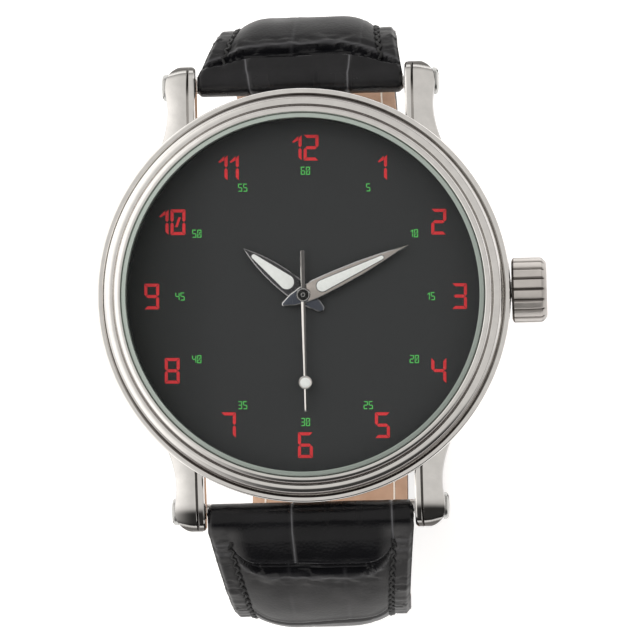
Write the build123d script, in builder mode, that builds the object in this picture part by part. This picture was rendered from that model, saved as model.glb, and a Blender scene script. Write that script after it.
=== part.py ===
from build123d import *
from math import cos, radians, sin
import os

# Three-hand quartz wristwatch on a padded two-piece strap, buckled into a closed loop.
# The origin is the centre of the case back's outer face, +Z runs out through the dial,
# +Y points to 12 o'clock and +X to the crown. All lengths are in millimetres.

# Clearances
seat_gap = 0.02
running_gap = 0.04
part_gap = 0.1
layer_gap = 0.05
overrun = 1.0

# Case middle: radii are set in from its outer radius, levels stand on one another
case_radius = 22.0
case_wall = 2.75
wall_inset = 1.1
foot_inset = 1.75
neck_wall = 0.75
split_inset = 0.9
bead_inset = 0.4
case_bottom = 1.2
wall_height = 3.4
band_chamfer = 0.2
band_height = 1.4
bead_height = 0.65
seat_drop = 0.25
neck_height = 0.8

# Lugs: their reach stands out from the case, and their places are set in from it
lug_side_gap = 0.2
lug_width = 2.9
lug_overhang = 2.9
lug_inner_round = 0.5
lug_outer_round = 1.1
lug_waist_inset = 4.5
lug_flare = 1.4
lug_flare_length = 6.0
lug_root_length = 2.4
lug_top = 4.95
lug_bend_inset = 7.3
lug_crown_inset = 2.6
lug_crown_z = 4.45
lug_tip_z = 2.1
lug_heel_inset = 0.5
lug_heel_z = 0.8
lug_sole_inset = 2.3
lug_sole_length = 5.6
lug_sole_z = 0.4
lug_groove_inset = 0.72
lug_groove_width = 0.16
lug_groove_depth = 0.14
lug_edge_chamfer = 0.2

# Strap bars and their screws
bar_inset = 2.2
bar_z = 2.2
bar_radius = 0.75
bar_end_gap = 0.1
screw_shank_radius = 0.5
screw_shank_depth = 2.6
screw_head_radius = 1.45
screw_head_height = 0.65
screw_slot_width = 0.32
screw_slot_depth = 0.25

# Bezel: two beads, the outer one lower
bezel_recess_gap = 0.03
bezel_foot_height = 1.15
outer_bead_inset = 0.5
outer_bead_rise = 0.67
outer_bead_fall = 0.22
inner_bead_width = 0.7
inner_bead_step = 0.6
inner_bead_rise = 0.35

# Crystal and its gasket
crystal_gap = 0.05
crystal_bevel_width = 0.47
crystal_bevel_height = 0.45
crystal_wall = 1.15
gasket_width = 0.4
gasket_thick = 0.15

# Dial and the ring that carries the crystal above it
dial_drop = 0.5
dial_thick = 0.4
dial_hole_radius = 0.95
ring_wall = 0.5
ring_height = 1.7

# Case back and its gasket
back_thick = 1.0
back_bevel = 1.85
back_edge_gap = 0.05
rim_wall = 0.8
rim_height = 0.7
back_gasket_height = 0.4
notch_width = 3.0
notch_depth = 0.9
notch_height = 0.35

# Crown, stem and tube
crown_level = 3.95
crown_radius = 3.45
crown_length = 3.4
crown_gap = 0.2
crown_flutes = 18
flute_depth = 0.3
flute_tip_share = 0.24
flute_root_share = 0.34
crown_chamfer = 0.45
skirt_radius = 1.7
skirt_depth = 1.8
tube_radius = 1.2
tube_wall = 0.55
tube_inset = 1.05
tube_reach = 1.55
crown_gasket_width = 0.45
crown_gasket_inset = 0.1
stem_radius = 0.55
stem_inner_end = 8.2
stem_seat = 0.8

# Movement plates, and the ring with three arms that centres them
holder_bottom = 1.95
holder_wall = 1.2
holder_arms = 3
holder_arm_width = 7.0
plate_radius = 13.0
plate_bottom = 4.1
plate_top = 4.75
stem_slot_width = 1.6
bridge_bottom = 1.8
bridge_thick = 0.3
bridge_left = -5.6
bridge_right = 6.6
bridge_lower = -3.6
bridge_upper = 6.1
post_radius = 0.7
post_inset = 0.85

# Wheels: pitch sizes come from the centre distances and the tooth counts
arbor_radius = 0.1
pivot_bottom = 1.85
wheel_thick = 0.15
train_top = 4.4
addendum_share = 0.85
dedendum_share = 1.1
tooth_root_share = 0.3
rotor_teeth = 6
fifth_teeth = 36
fifth_pinion_teeth = 6
second_teeth = 30
second_pinion_teeth = 6
third_teeth = 45
third_pinion_teeth = 6
centre_teeth = 48
cannon_teeth = 8
minute_teeth = 24
minute_pinion_teeth = 6
hour_teeth = 24
fifth_distance = 3.1
fifth_place_angle = 120.0
rotor_distance = 2.5
third_distance = 3.0
third_place_angle = 0.0
minute_distance = 2.4
minute_place_angle = 60.0
magnet_radius = 0.95
magnet_bottom = 2.5
magnet_height = 0.7
rotor_pinion_height = 0.4
fifth_disc_level = 3.3
fifth_pinion_level = 2.65
second_disc_level = 2.75
second_pinion_level = 2.2
third_disc_level = 2.3
third_pinion_level = 3.6
third_pinion_height = 0.4
centre_disc_level = 3.75
cannon_level = 4.85
minute_disc_level = 4.95
minute_pinion_level = 5.2
hour_disc_level = 5.3
second_arbor_radius = 0.13
centre_tube_wall = 0.24
hour_pipe_wall = 0.28
minute_post_radius = 0.25
minute_post_height = 0.85

# Motor, board and battery
stator_bottom = 2.55
stator_thick = 0.5
stator_left = -7.0
stator_right = 3.6
stator_lower = 3.55
stator_upper = 6.3
stator_leg_width = 1.6
rotor_hole_radius = 1.12
coil_y = 8.5
core_thick = 0.35
core_width = 1.2
winding_radius = 0.82
winding_inset = 2.0
board_bottom = 1.4
board_thick = 0.2
board_radius = 11.9
board_edge_y = -3.4
battery_radius = 3.95
battery_height = 2.1
battery_bottom = 1.5
battery_y = -7.75
clip_bottom = 1.1
clip_thick = 0.2
clip_width = 2.2
clip_length = 16.0
clip_leg = 0.8

# Hands: clock angles from 12, levels above the dial
hour_hand_angle = 309.2
minute_hand_angle = 66.0
second_hand_angle = 180.0
hour_rise = 0.4
hour_thick = 0.22
hour_length = 8.1
hour_half_width = 1.15
hour_shoulder = 1.9
hour_waist = 0.95
hour_tail = 2.7
hour_tail_half_width = 0.48
hour_lume_start = 1.55
hour_lume_end = 6.8
hour_lume_half_width = 0.76
minute_rise = 0.87
minute_thick = 0.2
minute_length = 12.45
minute_half_width = 1.03
minute_shoulder = 1.9
minute_waist = 0.85
minute_tail = 2.5
minute_tail_half_width = 0.34
minute_lume_start = 1.65
minute_lume_end = 9.25
minute_lume_half_width = 0.54
hand_chamfer = 0.07
lume_recess = 0.05
hub_radius = 1.0
second_rise = 1.28
second_thick = 0.14
second_length = 12.4
second_tip_half_width = 0.1
second_root_half_width = 0.2
second_tail = 4.7
second_tail_half_width = 0.24
second_hub_radius = 0.72
second_hub_height = 0.3
second_pin_height = 0.1
dot_distance = 9.3
dot_radius = 0.72
dot_lume_radius = 0.57

# Strap: one section carried round the wrist by three arcs and a flat
strap_width = 22.0
strap_taper = 4.0
taper_top = 0.6
taper_bottom = -9.0
strap_thick = 2.8
lining_thick = 1.0
roll_radius = 1.6
loop_bottom = -46.0
upper_turn_radius = 3.5
upper_lean_angle = 13.0
upper_flat_y = 12.0
lower_turn_radius = 8.9
lower_lean_angle = 16.0
lower_flat_y = -16.0
pad_inset = 2.4
pad_end_rise = 0.35
upper_pad_rise = 1.4
lower_pad_rise = 1.3
filler_inset = 0.9
filler_thick = 1.4
filler_turn_angle = 55.0
filler_lean_share = 0.85
end_thick = 2.5

# Buckle and keepers
pivot_y = -3.0
pivot_offset = 1.25
pivot_bar_radius = 0.7
end_roll_radius = 1.3
tongue_slot_width = 2.6
tongue_slot_length = 4.5
buckle_length = 11.0
frame_gap = 0.35
frame_side_width = 1.7
frame_corner = 2.2
pivot_bar_seat = 0.9
frame_bar_radius = 1.0
frame_bar_offset = 3.75
tail_offset = 3.0
tail_thick = 2.4
tail_step_start = -12.2
tail_step_end = -5.6
tail_turn_angle = 38.0
tongue_width = 1.8
tongue_thick = 0.9
tongue_eye_radius = 1.15
tongue_knee_start = 4.0
tongue_knee_end = 8.2
tongue_tip_offset = 5.3
tongue_overhang = 1.6
tail_hole_distance = 5.35
tail_hole_length = 5.2
tail_hole_width = 2.3
tail_hole_pitch = 6.5
spare_hole_radius = 0.9
keeper_width = 3.6
keeper_thick = 1.0
keeper_gap = 0.3
fixed_keeper_y = 0.6
free_keeper_y = 6.4


def polar(direction, distance):
    """Point at a distance from the origin in a direction in degrees."""
    return (distance * cos(radians(direction)), distance * sin(radians(direction)))


def toothed(teeth, tooth, phase, centre=(0, 0)):
    """Corners of a toothed outline; a tooth is its corners as radius and share of the pitch."""
    corners = []
    pitch = 360 / teeth
    for number in range(teeth):
        for radius, share in tooth:
            x, y = polar(phase + (number + share) * pitch, radius)
            corners.append((centre[0] + x, centre[1] + y))
    return corners


def gear(teeth, module, level, height, phase, centre=(0, 0)):
    """Add a gear with pointed teeth to the current part, one tooth along the phase angle."""
    pitch_radius = module * teeth / 2
    tip = pitch_radius + addendum_share * module
    root = pitch_radius - dedendum_share * module
    tooth = ((root, -tooth_root_share), (tip, 0), (root, tooth_root_share))
    with BuildSketch(Plane.XY.offset(level)) as outline:
        Polygon(*toothed(teeth, tooth, phase, centre))
    extrude(outline.sketch, amount=height)


def spindle(radius, bottom, top, centre=(0, 0), mode=Mode.ADD):
    """Add or cut an upright round shaft in the current part."""
    with Locations((centre[0], centre[1], bottom)):
        Cylinder(radius, top - bottom, align=(Align.CENTER, Align.CENTER, Align.MIN), mode=mode)


def cross_bar(radius, y, z, half_length, mode=Mode.ADD):
    """Add or cut a round bar along X in the current part."""
    with BuildSketch(Plane.YZ.offset(-half_length)) as section:
        with Locations((y, z)):
            Circle(radius)
    extrude(section.sketch, amount=2 * half_length, mode=mode)


def opposite(angle):
    """The direction that points the other way."""
    return angle + 180


def meeting(angle, teeth):
    """Phase of a gear that turns a gap between its teeth towards a direction."""
    return angle + 180 / teeth


# Levels and radii that follow from the sizes above
band_bottom = case_bottom + wall_height
shoulder_level = band_bottom + band_chamfer + band_height
bead_crest = shoulder_level + bead_height
seat_level = bead_crest - seat_drop
neck_top = seat_level + neck_height
bore_radius = case_radius - case_wall
split_radius = case_radius - split_inset
neck_radius = bore_radius + neck_wall
fit_radius = bore_radius - seat_gap
dial_top = seat_level - dial_drop
dial_bottom = dial_top - dial_thick
ring_top = dial_top + ring_height
crystal_bottom = ring_top + gasket_thick
lug_reach = case_radius + lug_overhang
lug_inner = strap_width / 2 + lug_side_gap
lug_outer = lug_inner + lug_width
lug_waist = lug_reach - lug_waist_inset
lug_foot = lug_waist - lug_flare_length
lug_root = lug_foot - lug_root_length
lug_bend = lug_reach - lug_bend_inset
lug_crown_y = lug_reach - lug_crown_inset
lug_heel_y = lug_reach - lug_heel_inset
lug_sole_y = lug_reach - lug_sole_inset
bar_y = lug_reach - bar_inset
crown_start = case_radius + crown_gap
strap_end_width = strap_width - strap_taper

# Case middle: turned band and wall, four lugs, bored for the movement, tube and screws
with BuildPart() as case_middle:
    with BuildSketch():
        with BuildLine():
            Polyline((lug_inner, lug_root), (lug_inner, lug_reach - lug_inner_round))
            CenterArc((lug_inner + lug_inner_round, lug_reach - lug_inner_round), lug_inner_round, 180, -90)
            Line((lug_inner + lug_inner_round, lug_reach), (lug_outer - lug_outer_round, lug_reach))
            CenterArc((lug_outer - lug_outer_round, lug_reach - lug_outer_round), lug_outer_round, 90, -90)
            Line((lug_outer, lug_reach - lug_outer_round), (lug_outer, lug_waist))
            TangentArc((lug_outer, lug_waist), (lug_outer + lug_flare, lug_foot), tangent=(0, -1))
            Polyline((lug_outer + lug_flare, lug_foot), (lug_outer, lug_root), (lug_inner, lug_root))
        make_face()
    extrude(amount=lug_top)
    with BuildSketch(Plane.YZ):
        with BuildLine():
            Polyline(
                (lug_root, case_bottom),
                (lug_root, lug_top),
                (lug_bend, lug_top),
                (lug_crown_y, lug_crown_z),
            )
            TangentArc(
                (lug_crown_y, lug_crown_z),
                (lug_reach, lug_tip_z),
                tangent=(lug_crown_y - lug_bend, lug_crown_z - lug_top),
            )
            Polyline(
                (lug_reach, lug_tip_z),
                (lug_heel_y, lug_heel_z),
                (lug_sole_y, lug_sole_z),
                (lug_sole_y - lug_sole_length, case_bottom),
                (lug_root, case_bottom),
            )
        make_face()
    extrude(amount=case_radius, mode=Mode.INTERSECT)
    inner_edges = faces().sort_by(Axis.X)[0].edges()
    chamfer(
        inner_edges.filter_by(lambda edge: edge.center().Z > lug_tip_z and edge.center().Y > lug_root),
        lug_edge_chamfer,
    )
    with BuildSketch(Plane.YZ.offset(lug_inner + lug_groove_inset)):
        Polygon(
            (lug_root, lug_top - lug_groove_depth),
            (lug_bend, lug_top - lug_groove_depth),
            (lug_crown_y, lug_crown_z - lug_groove_depth),
            (lug_reach, lug_crown_z - lug_groove_depth),
            (lug_reach, lug_top + overrun),
            (lug_root, lug_top + overrun),
        )
    extrude(amount=lug_groove_width, mode=Mode.SUBTRACT)
    mirror(about=Plane.YZ)
    mirror(about=Plane.XZ)
    with BuildSketch(Plane.XZ):
        Polygon(
            (case_radius, band_bottom + band_chamfer),
            (case_radius, shoulder_level),
            (case_radius - bead_inset, bead_crest),
            (split_radius, seat_level),
            (neck_radius, seat_level),
            (neck_radius, neck_top),
            (bore_radius, neck_top),
            (bore_radius, case_bottom),
            (case_radius - foot_inset, case_bottom),
            (case_radius - wall_inset, band_bottom),
        )
    revolve(axis=Axis.Z)
    spindle(bore_radius, 0, neck_top + overrun, mode=Mode.SUBTRACT)
    with BuildSketch(Plane.YZ):
        with Locations((0, crown_level)):
            Circle(tube_radius + seat_gap)
    extrude(amount=case_radius + overrun, mode=Mode.SUBTRACT)
    for side_y in (bar_y, -bar_y):
        cross_bar(screw_shank_radius + seat_gap, side_y, bar_z, lug_outer + overrun, Mode.SUBTRACT)

# Bezel: two stepped beads that snap over the neck and close round the crystal
outer_crest = seat_level + bezel_foot_height + outer_bead_rise
step_radius = bore_radius + inner_bead_width
step_level = outer_crest - outer_bead_fall
inner_foot = step_level + inner_bead_step
with BuildPart() as bezel:
    with BuildSketch(Plane.XZ):
        Polygon(
            (bore_radius, inner_foot),
            (bore_radius, neck_top + part_gap),
            (neck_radius + bezel_recess_gap, neck_top + part_gap),
            (neck_radius + bezel_recess_gap, seat_level),
            (split_radius, seat_level),
            (split_radius, seat_level + bezel_foot_height),
            (split_radius - outer_bead_inset, outer_crest),
            (step_radius, step_level),
            (step_radius, inner_foot),
            (bore_radius + inner_bead_width / 2, inner_foot + inner_bead_rise),
        )
    revolve(axis=Axis.Z)

# Crystal: flat mineral glass with a bevelled edge, on a flat gasket
crystal_radius = bore_radius - crystal_gap
crystal_edge_level = crystal_bottom + crystal_wall
with BuildPart() as crystal:
    with BuildSketch(Plane.XZ):
        Polygon(
            (0, crystal_bottom),
            (crystal_radius, crystal_bottom),
            (crystal_radius, crystal_edge_level),
            (crystal_radius - crystal_bevel_width, crystal_edge_level + crystal_bevel_height),
            (0, crystal_edge_level + crystal_bevel_height),
        )
    revolve(axis=Axis.Z)

with BuildPart() as crystal_gasket:
    with BuildSketch(Plane.XY.offset(ring_top)):
        Circle(fit_radius)
        Circle(fit_radius - gasket_width, mode=Mode.SUBTRACT)
    extrude(amount=gasket_thick)

# Dial, and the ring that spaces it from the crystal
with BuildPart() as dial:
    spindle(fit_radius, dial_bottom, dial_top)
    spindle(dial_hole_radius, dial_bottom, dial_top, mode=Mode.SUBTRACT)

with BuildPart() as dial_ring:
    with BuildSketch(Plane.XY.offset(dial_top)):
        Circle(fit_radius)
        Circle(fit_radius - ring_wall, mode=Mode.SUBTRACT)
    extrude(amount=ring_height)

# Case back: snap-in lid with a rim and a pry notch, sealed by a gasket
back_radius = case_radius - foot_inset - back_edge_gap
rim_outer_radius = fit_radius - gasket_width
with BuildPart() as case_back:
    with BuildSketch(Plane.XZ):
        Polygon(
            (0, 0),
            (back_radius - back_bevel, 0),
            (back_radius, case_bottom),
            (rim_outer_radius, case_bottom),
            (rim_outer_radius, case_bottom + rim_height),
            (rim_outer_radius - rim_wall, case_bottom + rim_height),
            (rim_outer_radius - rim_wall, back_thick),
            (0, back_thick),
        )
    revolve(axis=Axis.Z)
    with Locations((0, -back_radius, case_bottom)):
        Box(
            notch_width,
            notch_depth,
            notch_height,
            align=(Align.CENTER, Align.CENTER, Align.MAX),
            mode=Mode.SUBTRACT,
        )

with BuildPart() as case_back_gasket:
    with BuildSketch(Plane.XY.offset(case_bottom)):
        Circle(fit_radius)
        Circle(rim_outer_radius + seat_gap, mode=Mode.SUBTRACT)
    extrude(amount=back_gasket_height)

# Crown with flat-topped flutes, its gasket, the case tube and the stem
crown_face = Plane(origin=(crown_start, 0, crown_level), x_dir=(0, 1, 0), z_dir=(1, 0, 0))
ridge = (
    (crown_radius - flute_depth, -flute_root_share),
    (crown_radius + overrun, -flute_tip_share),
    (crown_radius + overrun, flute_tip_share),
    (crown_radius - flute_depth, flute_root_share),
)
with BuildPart() as crown:
    with BuildSketch(Plane.XY.offset(crown_level)):
        Polygon(
            (crown_start, 0),
            (crown_start, crown_radius),
            (crown_start + crown_length - crown_chamfer, crown_radius),
            (crown_start + crown_length, crown_radius - crown_chamfer),
            (crown_start + crown_length, 0),
        )
    revolve(axis=Axis((0, 0, crown_level), (1, 0, 0)))
    with BuildSketch(crown_face):
        Polygon(*toothed(crown_flutes, ridge, 0))
    extrude(amount=crown_length, mode=Mode.INTERSECT)
    with BuildSketch(crown_face):
        Circle(skirt_radius)
    extrude(amount=skirt_depth, mode=Mode.SUBTRACT)
    with BuildSketch(crown_face):
        Circle(stem_radius + seat_gap)
    extrude(amount=skirt_depth + stem_seat, mode=Mode.SUBTRACT)

with BuildPart() as crown_gasket:
    with BuildSketch(crown_face.offset(crown_gasket_inset)):
        Circle(skirt_radius - seat_gap)
        Circle(tube_radius + running_gap, mode=Mode.SUBTRACT)
    extrude(amount=crown_gasket_width)

tube_length = case_wall + tube_inset + crown_gap + tube_reach
with BuildPart() as crown_tube:
    with BuildSketch(crown_face.offset(tube_reach - tube_length)):
        Circle(tube_radius)
        Circle(tube_radius - tube_wall, mode=Mode.SUBTRACT)
    extrude(amount=tube_length)

stem_length = crown_start + skirt_depth + stem_seat - stem_inner_end
with BuildPart() as stem:
    with BuildSketch(crown_face.offset(stem_inner_end - crown_start)):
        Circle(stem_radius)
    extrude(amount=stem_length)

# Movement ring: it carries the main plate and reaches the case bore with three arms
holder_radius = plate_radius + holder_wall
with BuildPart() as movement_ring:
    with BuildSketch(Plane.XY.offset(holder_bottom)):
        Circle(holder_radius)
        with PolarLocations(0, holder_arms, start_angle=90):
            Rectangle(case_radius, holder_arm_width, align=(Align.MIN, Align.CENTER))
        Circle(fit_radius, mode=Mode.INTERSECT)
        Circle(plate_radius + seat_gap, mode=Mode.SUBTRACT)
    extrude(amount=dial_bottom - holder_bottom)
    with Locations((plate_radius, 0, crown_level)):
        Box(4 * holder_wall, stem_slot_width, stem_slot_width, mode=Mode.SUBTRACT)

# Places of the wheel train
fifth_place = polar(fifth_place_angle, fifth_distance)
rotor_place = polar(fifth_place_angle, fifth_distance + rotor_distance)
third_place = polar(third_place_angle, third_distance)
minute_place = polar(minute_place_angle, minute_distance)
rotor_module = 2 * rotor_distance / (rotor_teeth + fifth_teeth)
fifth_module = 2 * fifth_distance / (fifth_pinion_teeth + second_teeth)
second_module = 2 * third_distance / (second_pinion_teeth + third_teeth)
third_module = 2 * third_distance / (third_pinion_teeth + centre_teeth)
cannon_module = 2 * minute_distance / (cannon_teeth + minute_teeth)
hour_module = 2 * minute_distance / (minute_pinion_teeth + hour_teeth)
train_places = (fifth_place, rotor_place, third_place)
centre_bore = second_arbor_radius + running_gap
centre_radius = centre_bore + centre_tube_wall
hour_bore = centre_radius + running_gap
hour_level = dial_top + hour_rise
minute_level = dial_top + minute_rise
second_level = dial_top + second_rise
hour_top = hour_level + hour_thick
minute_top = minute_level + minute_thick
second_top = second_level + second_hub_height + second_pin_height
posts = (
    (bridge_left + post_inset, bridge_lower + post_inset),
    (bridge_right - post_inset, bridge_upper - post_inset),
)

# Main plate: disc with posts for the bridge and the minute wheel, pivot holes, a stem slot
with BuildPart() as main_plate:
    spindle(plate_radius, plate_bottom, plate_top)
    for post in posts:
        spindle(post_radius, bridge_bottom + bridge_thick, plate_bottom, post)
    spindle(minute_post_radius, plate_top, plate_top + minute_post_height, minute_place)
    spindle(centre_radius + running_gap, plate_bottom, plate_top, mode=Mode.SUBTRACT)
    for place in train_places:
        spindle(arbor_radius + running_gap, plate_bottom, plate_top, place, Mode.SUBTRACT)
    with Locations((stem_inner_end - part_gap, 0, crown_level)):
        Box(
            plate_radius,
            stem_slot_width,
            stem_slot_width,
            align=(Align.MIN, Align.CENTER, Align.CENTER),
            mode=Mode.SUBTRACT,
        )

# Train bridge: plate on two posts that holds the lower pivots
with BuildPart() as train_bridge:
    with BuildSketch(Plane.XY.offset(bridge_bottom)):
        Polygon(
            (bridge_left, bridge_lower),
            (bridge_right, bridge_lower),
            (bridge_right, bridge_upper),
            (bridge_left, bridge_upper),
        )
        with Locations((0, 0)):
            Circle(second_arbor_radius + running_gap, mode=Mode.SUBTRACT)
        with Locations(*train_places):
            Circle(arbor_radius + running_gap, mode=Mode.SUBTRACT)
    extrude(amount=bridge_thick)

# Wheel train: each wheel sits on its own pinion and is in mesh with the next
magnet_top = magnet_bottom + magnet_height
with BuildPart() as rotor:
    spindle(arbor_radius, pivot_bottom, train_top, rotor_place)
    spindle(magnet_radius, magnet_bottom, magnet_top, rotor_place)
    rotor_phase = opposite(fifth_place_angle)
    gear(rotor_teeth, rotor_module, magnet_top, rotor_pinion_height, rotor_phase, rotor_place)

with BuildPart() as fifth_wheel:
    spindle(arbor_radius, pivot_bottom, train_top, fifth_place)
    fifth_phase = meeting(fifth_place_angle, fifth_teeth)
    gear(fifth_teeth, rotor_module, fifth_disc_level, wheel_thick, fifth_phase, fifth_place)
    pinion_height = fifth_disc_level - fifth_pinion_level
    gear(fifth_pinion_teeth, fifth_module, fifth_pinion_level, pinion_height, rotor_phase, fifth_place)

with BuildPart() as second_wheel:
    spindle(second_arbor_radius, pivot_bottom, second_top)
    second_phase = meeting(fifth_place_angle, second_teeth)
    gear(second_teeth, fifth_module, second_disc_level, wheel_thick, second_phase)
    pinion_height = second_disc_level - second_pinion_level
    gear(second_pinion_teeth, second_module, second_pinion_level, pinion_height, third_place_angle)

with BuildPart() as third_wheel:
    spindle(arbor_radius, pivot_bottom, train_top, third_place)
    third_phase = opposite(third_place_angle)
    third_disc_phase = meeting(third_phase, third_teeth)
    gear(third_teeth, second_module, third_disc_level, wheel_thick, third_disc_phase, third_place)
    pinion_height = third_pinion_height
    gear(third_pinion_teeth, third_module, third_pinion_level, pinion_height, third_phase, third_place)

with BuildPart() as centre_wheel:
    spindle(centre_radius, centre_disc_level, minute_top)
    gear(centre_teeth, third_module, centre_disc_level, wheel_thick, meeting(third_place_angle, centre_teeth))
    gear(cannon_teeth, cannon_module, cannon_level, minute_pinion_level - cannon_level, minute_place_angle)
    spindle(centre_bore, centre_disc_level, minute_top, mode=Mode.SUBTRACT)

with BuildPart() as minute_wheel:
    minute_phase = opposite(minute_place_angle)
    minute_disc_phase = meeting(minute_phase, minute_teeth)
    gear(minute_teeth, cannon_module, minute_disc_level, wheel_thick, minute_disc_phase, minute_place)
    pinion_height = hour_disc_level + wheel_thick - minute_disc_level
    gear(minute_pinion_teeth, hour_module, minute_disc_level, pinion_height, minute_phase, minute_place)
    spindle(minute_post_radius + running_gap, plate_top, dial_bottom, minute_place, Mode.SUBTRACT)

with BuildPart() as hour_wheel:
    spindle(hour_bore + hour_pipe_wall, hour_disc_level, hour_top)
    gear(hour_teeth, hour_module, hour_disc_level, wheel_thick, meeting(minute_place_angle, hour_teeth))
    spindle(hour_bore, hour_disc_level, hour_top, mode=Mode.SUBTRACT)

# Step motor: stator plate round the rotor, coil on a flat core
with BuildPart() as stator:
    with BuildSketch(Plane.XY.offset(stator_bottom)):
        Polygon(
            (stator_left, stator_lower),
            (stator_right, stator_lower),
            (stator_right, coil_y + core_width / 2),
            (stator_right - stator_leg_width, coil_y + core_width / 2),
            (stator_right - stator_leg_width, stator_upper),
            (stator_left + stator_leg_width, stator_upper),
            (stator_left + stator_leg_width, coil_y + core_width / 2),
            (stator_left, coil_y + core_width / 2),
        )
        with Locations(rotor_place):
            Circle(rotor_hole_radius, mode=Mode.SUBTRACT)
    extrude(amount=stator_thick)

with BuildPart() as coil:
    with Locations(((stator_left + stator_right) / 2, coil_y, stator_bottom + stator_thick)):
        Box(
            stator_right - stator_left,
            core_width,
            core_thick,
            align=(Align.CENTER, Align.CENTER, Align.MIN),
        )
    with BuildSketch(Plane.YZ.offset(stator_left + winding_inset)):
        with Locations((coil_y, stator_bottom + stator_thick + core_thick / 2)):
            Circle(winding_radius)
    extrude(amount=stator_right - stator_left - 2 * winding_inset)

# Circuit board, battery and the clip that holds it
with BuildPart() as circuit_board:
    with BuildSketch(Plane.XY.offset(board_bottom)):
        Circle(board_radius)
        with Locations((0, board_edge_y)):
            Rectangle(
                2 * board_radius,
                board_radius,
                align=(Align.CENTER, Align.MAX),
                mode=Mode.SUBTRACT,
            )
    extrude(amount=board_thick)

with BuildPart() as battery:
    spindle(battery_radius, battery_bottom, battery_bottom + battery_height, (0, battery_y))

with BuildPart() as battery_clip:
    with Locations((0, battery_y, clip_bottom)):
        Box(clip_length, clip_width, clip_thick, align=(Align.CENTER, Align.CENTER, Align.MIN))
    leg_x = (clip_length - clip_leg) / 2
    with Locations((leg_x, battery_y, clip_bottom), (-leg_x, battery_y, clip_bottom)):
        Box(
            clip_leg,
            clip_width,
            plate_bottom - clip_bottom,
            align=(Align.CENTER, Align.CENTER, Align.MIN),
        )


def hand_plane(level, angle):
    """Plane at a level whose +Y points along a clock angle, measured from 12."""
    turn = radians(angle)
    return Plane(origin=(0, 0, level), x_dir=(cos(turn), -sin(turn), 0), z_dir=(0, 0, 1))


def leaf(length, half_width, shoulder, waist, tail, tail_half_width):
    """Outline of a leaf-shaped hand with a rounded tail, as one face."""
    with BuildSketch() as outline:
        with BuildLine():
            Polyline(
                (-tail_half_width, -tail + tail_half_width),
                (-waist, 0),
                (-half_width, shoulder),
                (0, length),
                (half_width, shoulder),
                (waist, 0),
                (tail_half_width, -tail + tail_half_width),
            )
            CenterArc((0, -tail + tail_half_width), tail_half_width, 0, -180)
        make_face()
    return outline.sketch


def drop(start, end, half_width):
    """Outline of a luminous filling: round near the pivot, pointed outwards."""
    with BuildSketch() as outline:
        with BuildLine():
            Polyline((-half_width, start + half_width), (0, end), (half_width, start + half_width))
            CenterArc((0, start + half_width), half_width, 0, -180)
        make_face()
    return outline.sketch


# Hands: bevelled frames with a window, each window filled with luminous compound
hour_plane = hand_plane(hour_level, hour_hand_angle)
hour_window = drop(hour_lume_start, hour_lume_end, hour_lume_half_width)
with BuildPart() as hour_hand:
    with BuildSketch(hour_plane):
        add(leaf(hour_length, hour_half_width, hour_shoulder, hour_waist, hour_tail, hour_tail_half_width))
        Circle(hub_radius)
    extrude(amount=hour_thick)
    chamfer(faces().sort_by(Axis.Z)[-1].outer_wire().edges(), hand_chamfer)
    with BuildSketch(hour_plane):
        add(hour_window)
        Circle(hour_bore + hour_pipe_wall + seat_gap)
    extrude(amount=hour_thick, mode=Mode.SUBTRACT)

with BuildPart() as hour_hand_lume:
    with BuildSketch(hour_plane):
        add(hour_window)
    extrude(amount=hour_thick - lume_recess)

minute_plane = hand_plane(minute_level, minute_hand_angle)
minute_window = drop(minute_lume_start, minute_lume_end, minute_lume_half_width)
minute_leaf = leaf(
    minute_length, minute_half_width, minute_shoulder, minute_waist, minute_tail, minute_tail_half_width
)
with BuildPart() as minute_hand:
    with BuildSketch(minute_plane):
        add(minute_leaf)
    extrude(amount=minute_thick)
    chamfer(faces().sort_by(Axis.Z)[-1].outer_wire().edges(), hand_chamfer)
    with BuildSketch(minute_plane):
        add(minute_window)
        Circle(centre_radius + seat_gap)
    extrude(amount=minute_thick, mode=Mode.SUBTRACT)

with BuildPart() as minute_hand_lume:
    with BuildSketch(minute_plane):
        add(minute_window)
    extrude(amount=minute_thick - lume_recess)

second_plane = hand_plane(second_level, second_hand_angle)
with BuildPart() as second_hand:
    with BuildSketch(second_plane):
        Polygon(
            (-second_tail_half_width, -second_tail),
            (second_tail_half_width, -second_tail),
            (second_root_half_width, 0),
            (second_tip_half_width, second_length),
            (-second_tip_half_width, second_length),
            (-second_root_half_width, 0),
        )
        with Locations((0, dot_distance)):
            Circle(dot_radius)
            Circle(dot_lume_radius, mode=Mode.SUBTRACT)
        Circle(second_arbor_radius + seat_gap, mode=Mode.SUBTRACT)
    extrude(amount=second_thick)
    with BuildSketch(second_plane):
        Circle(second_hub_radius)
        Circle(second_arbor_radius + seat_gap, mode=Mode.SUBTRACT)
    extrude(amount=second_hub_height)

with BuildPart() as second_hand_lume:
    with BuildSketch(second_plane):
        with Locations((0, dot_distance)):
            Circle(dot_lume_radius)
    extrude(amount=second_thick - lume_recess)

# Bars between the lugs, and the slotted screws that hold them
with BuildPart() as strap_bars:
    for side_y in (bar_y, -bar_y):
        cross_bar(bar_radius, side_y, bar_z, lug_inner - bar_end_gap)
        cross_bar(screw_shank_radius + seat_gap, side_y, bar_z, lug_inner, Mode.SUBTRACT)

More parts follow.
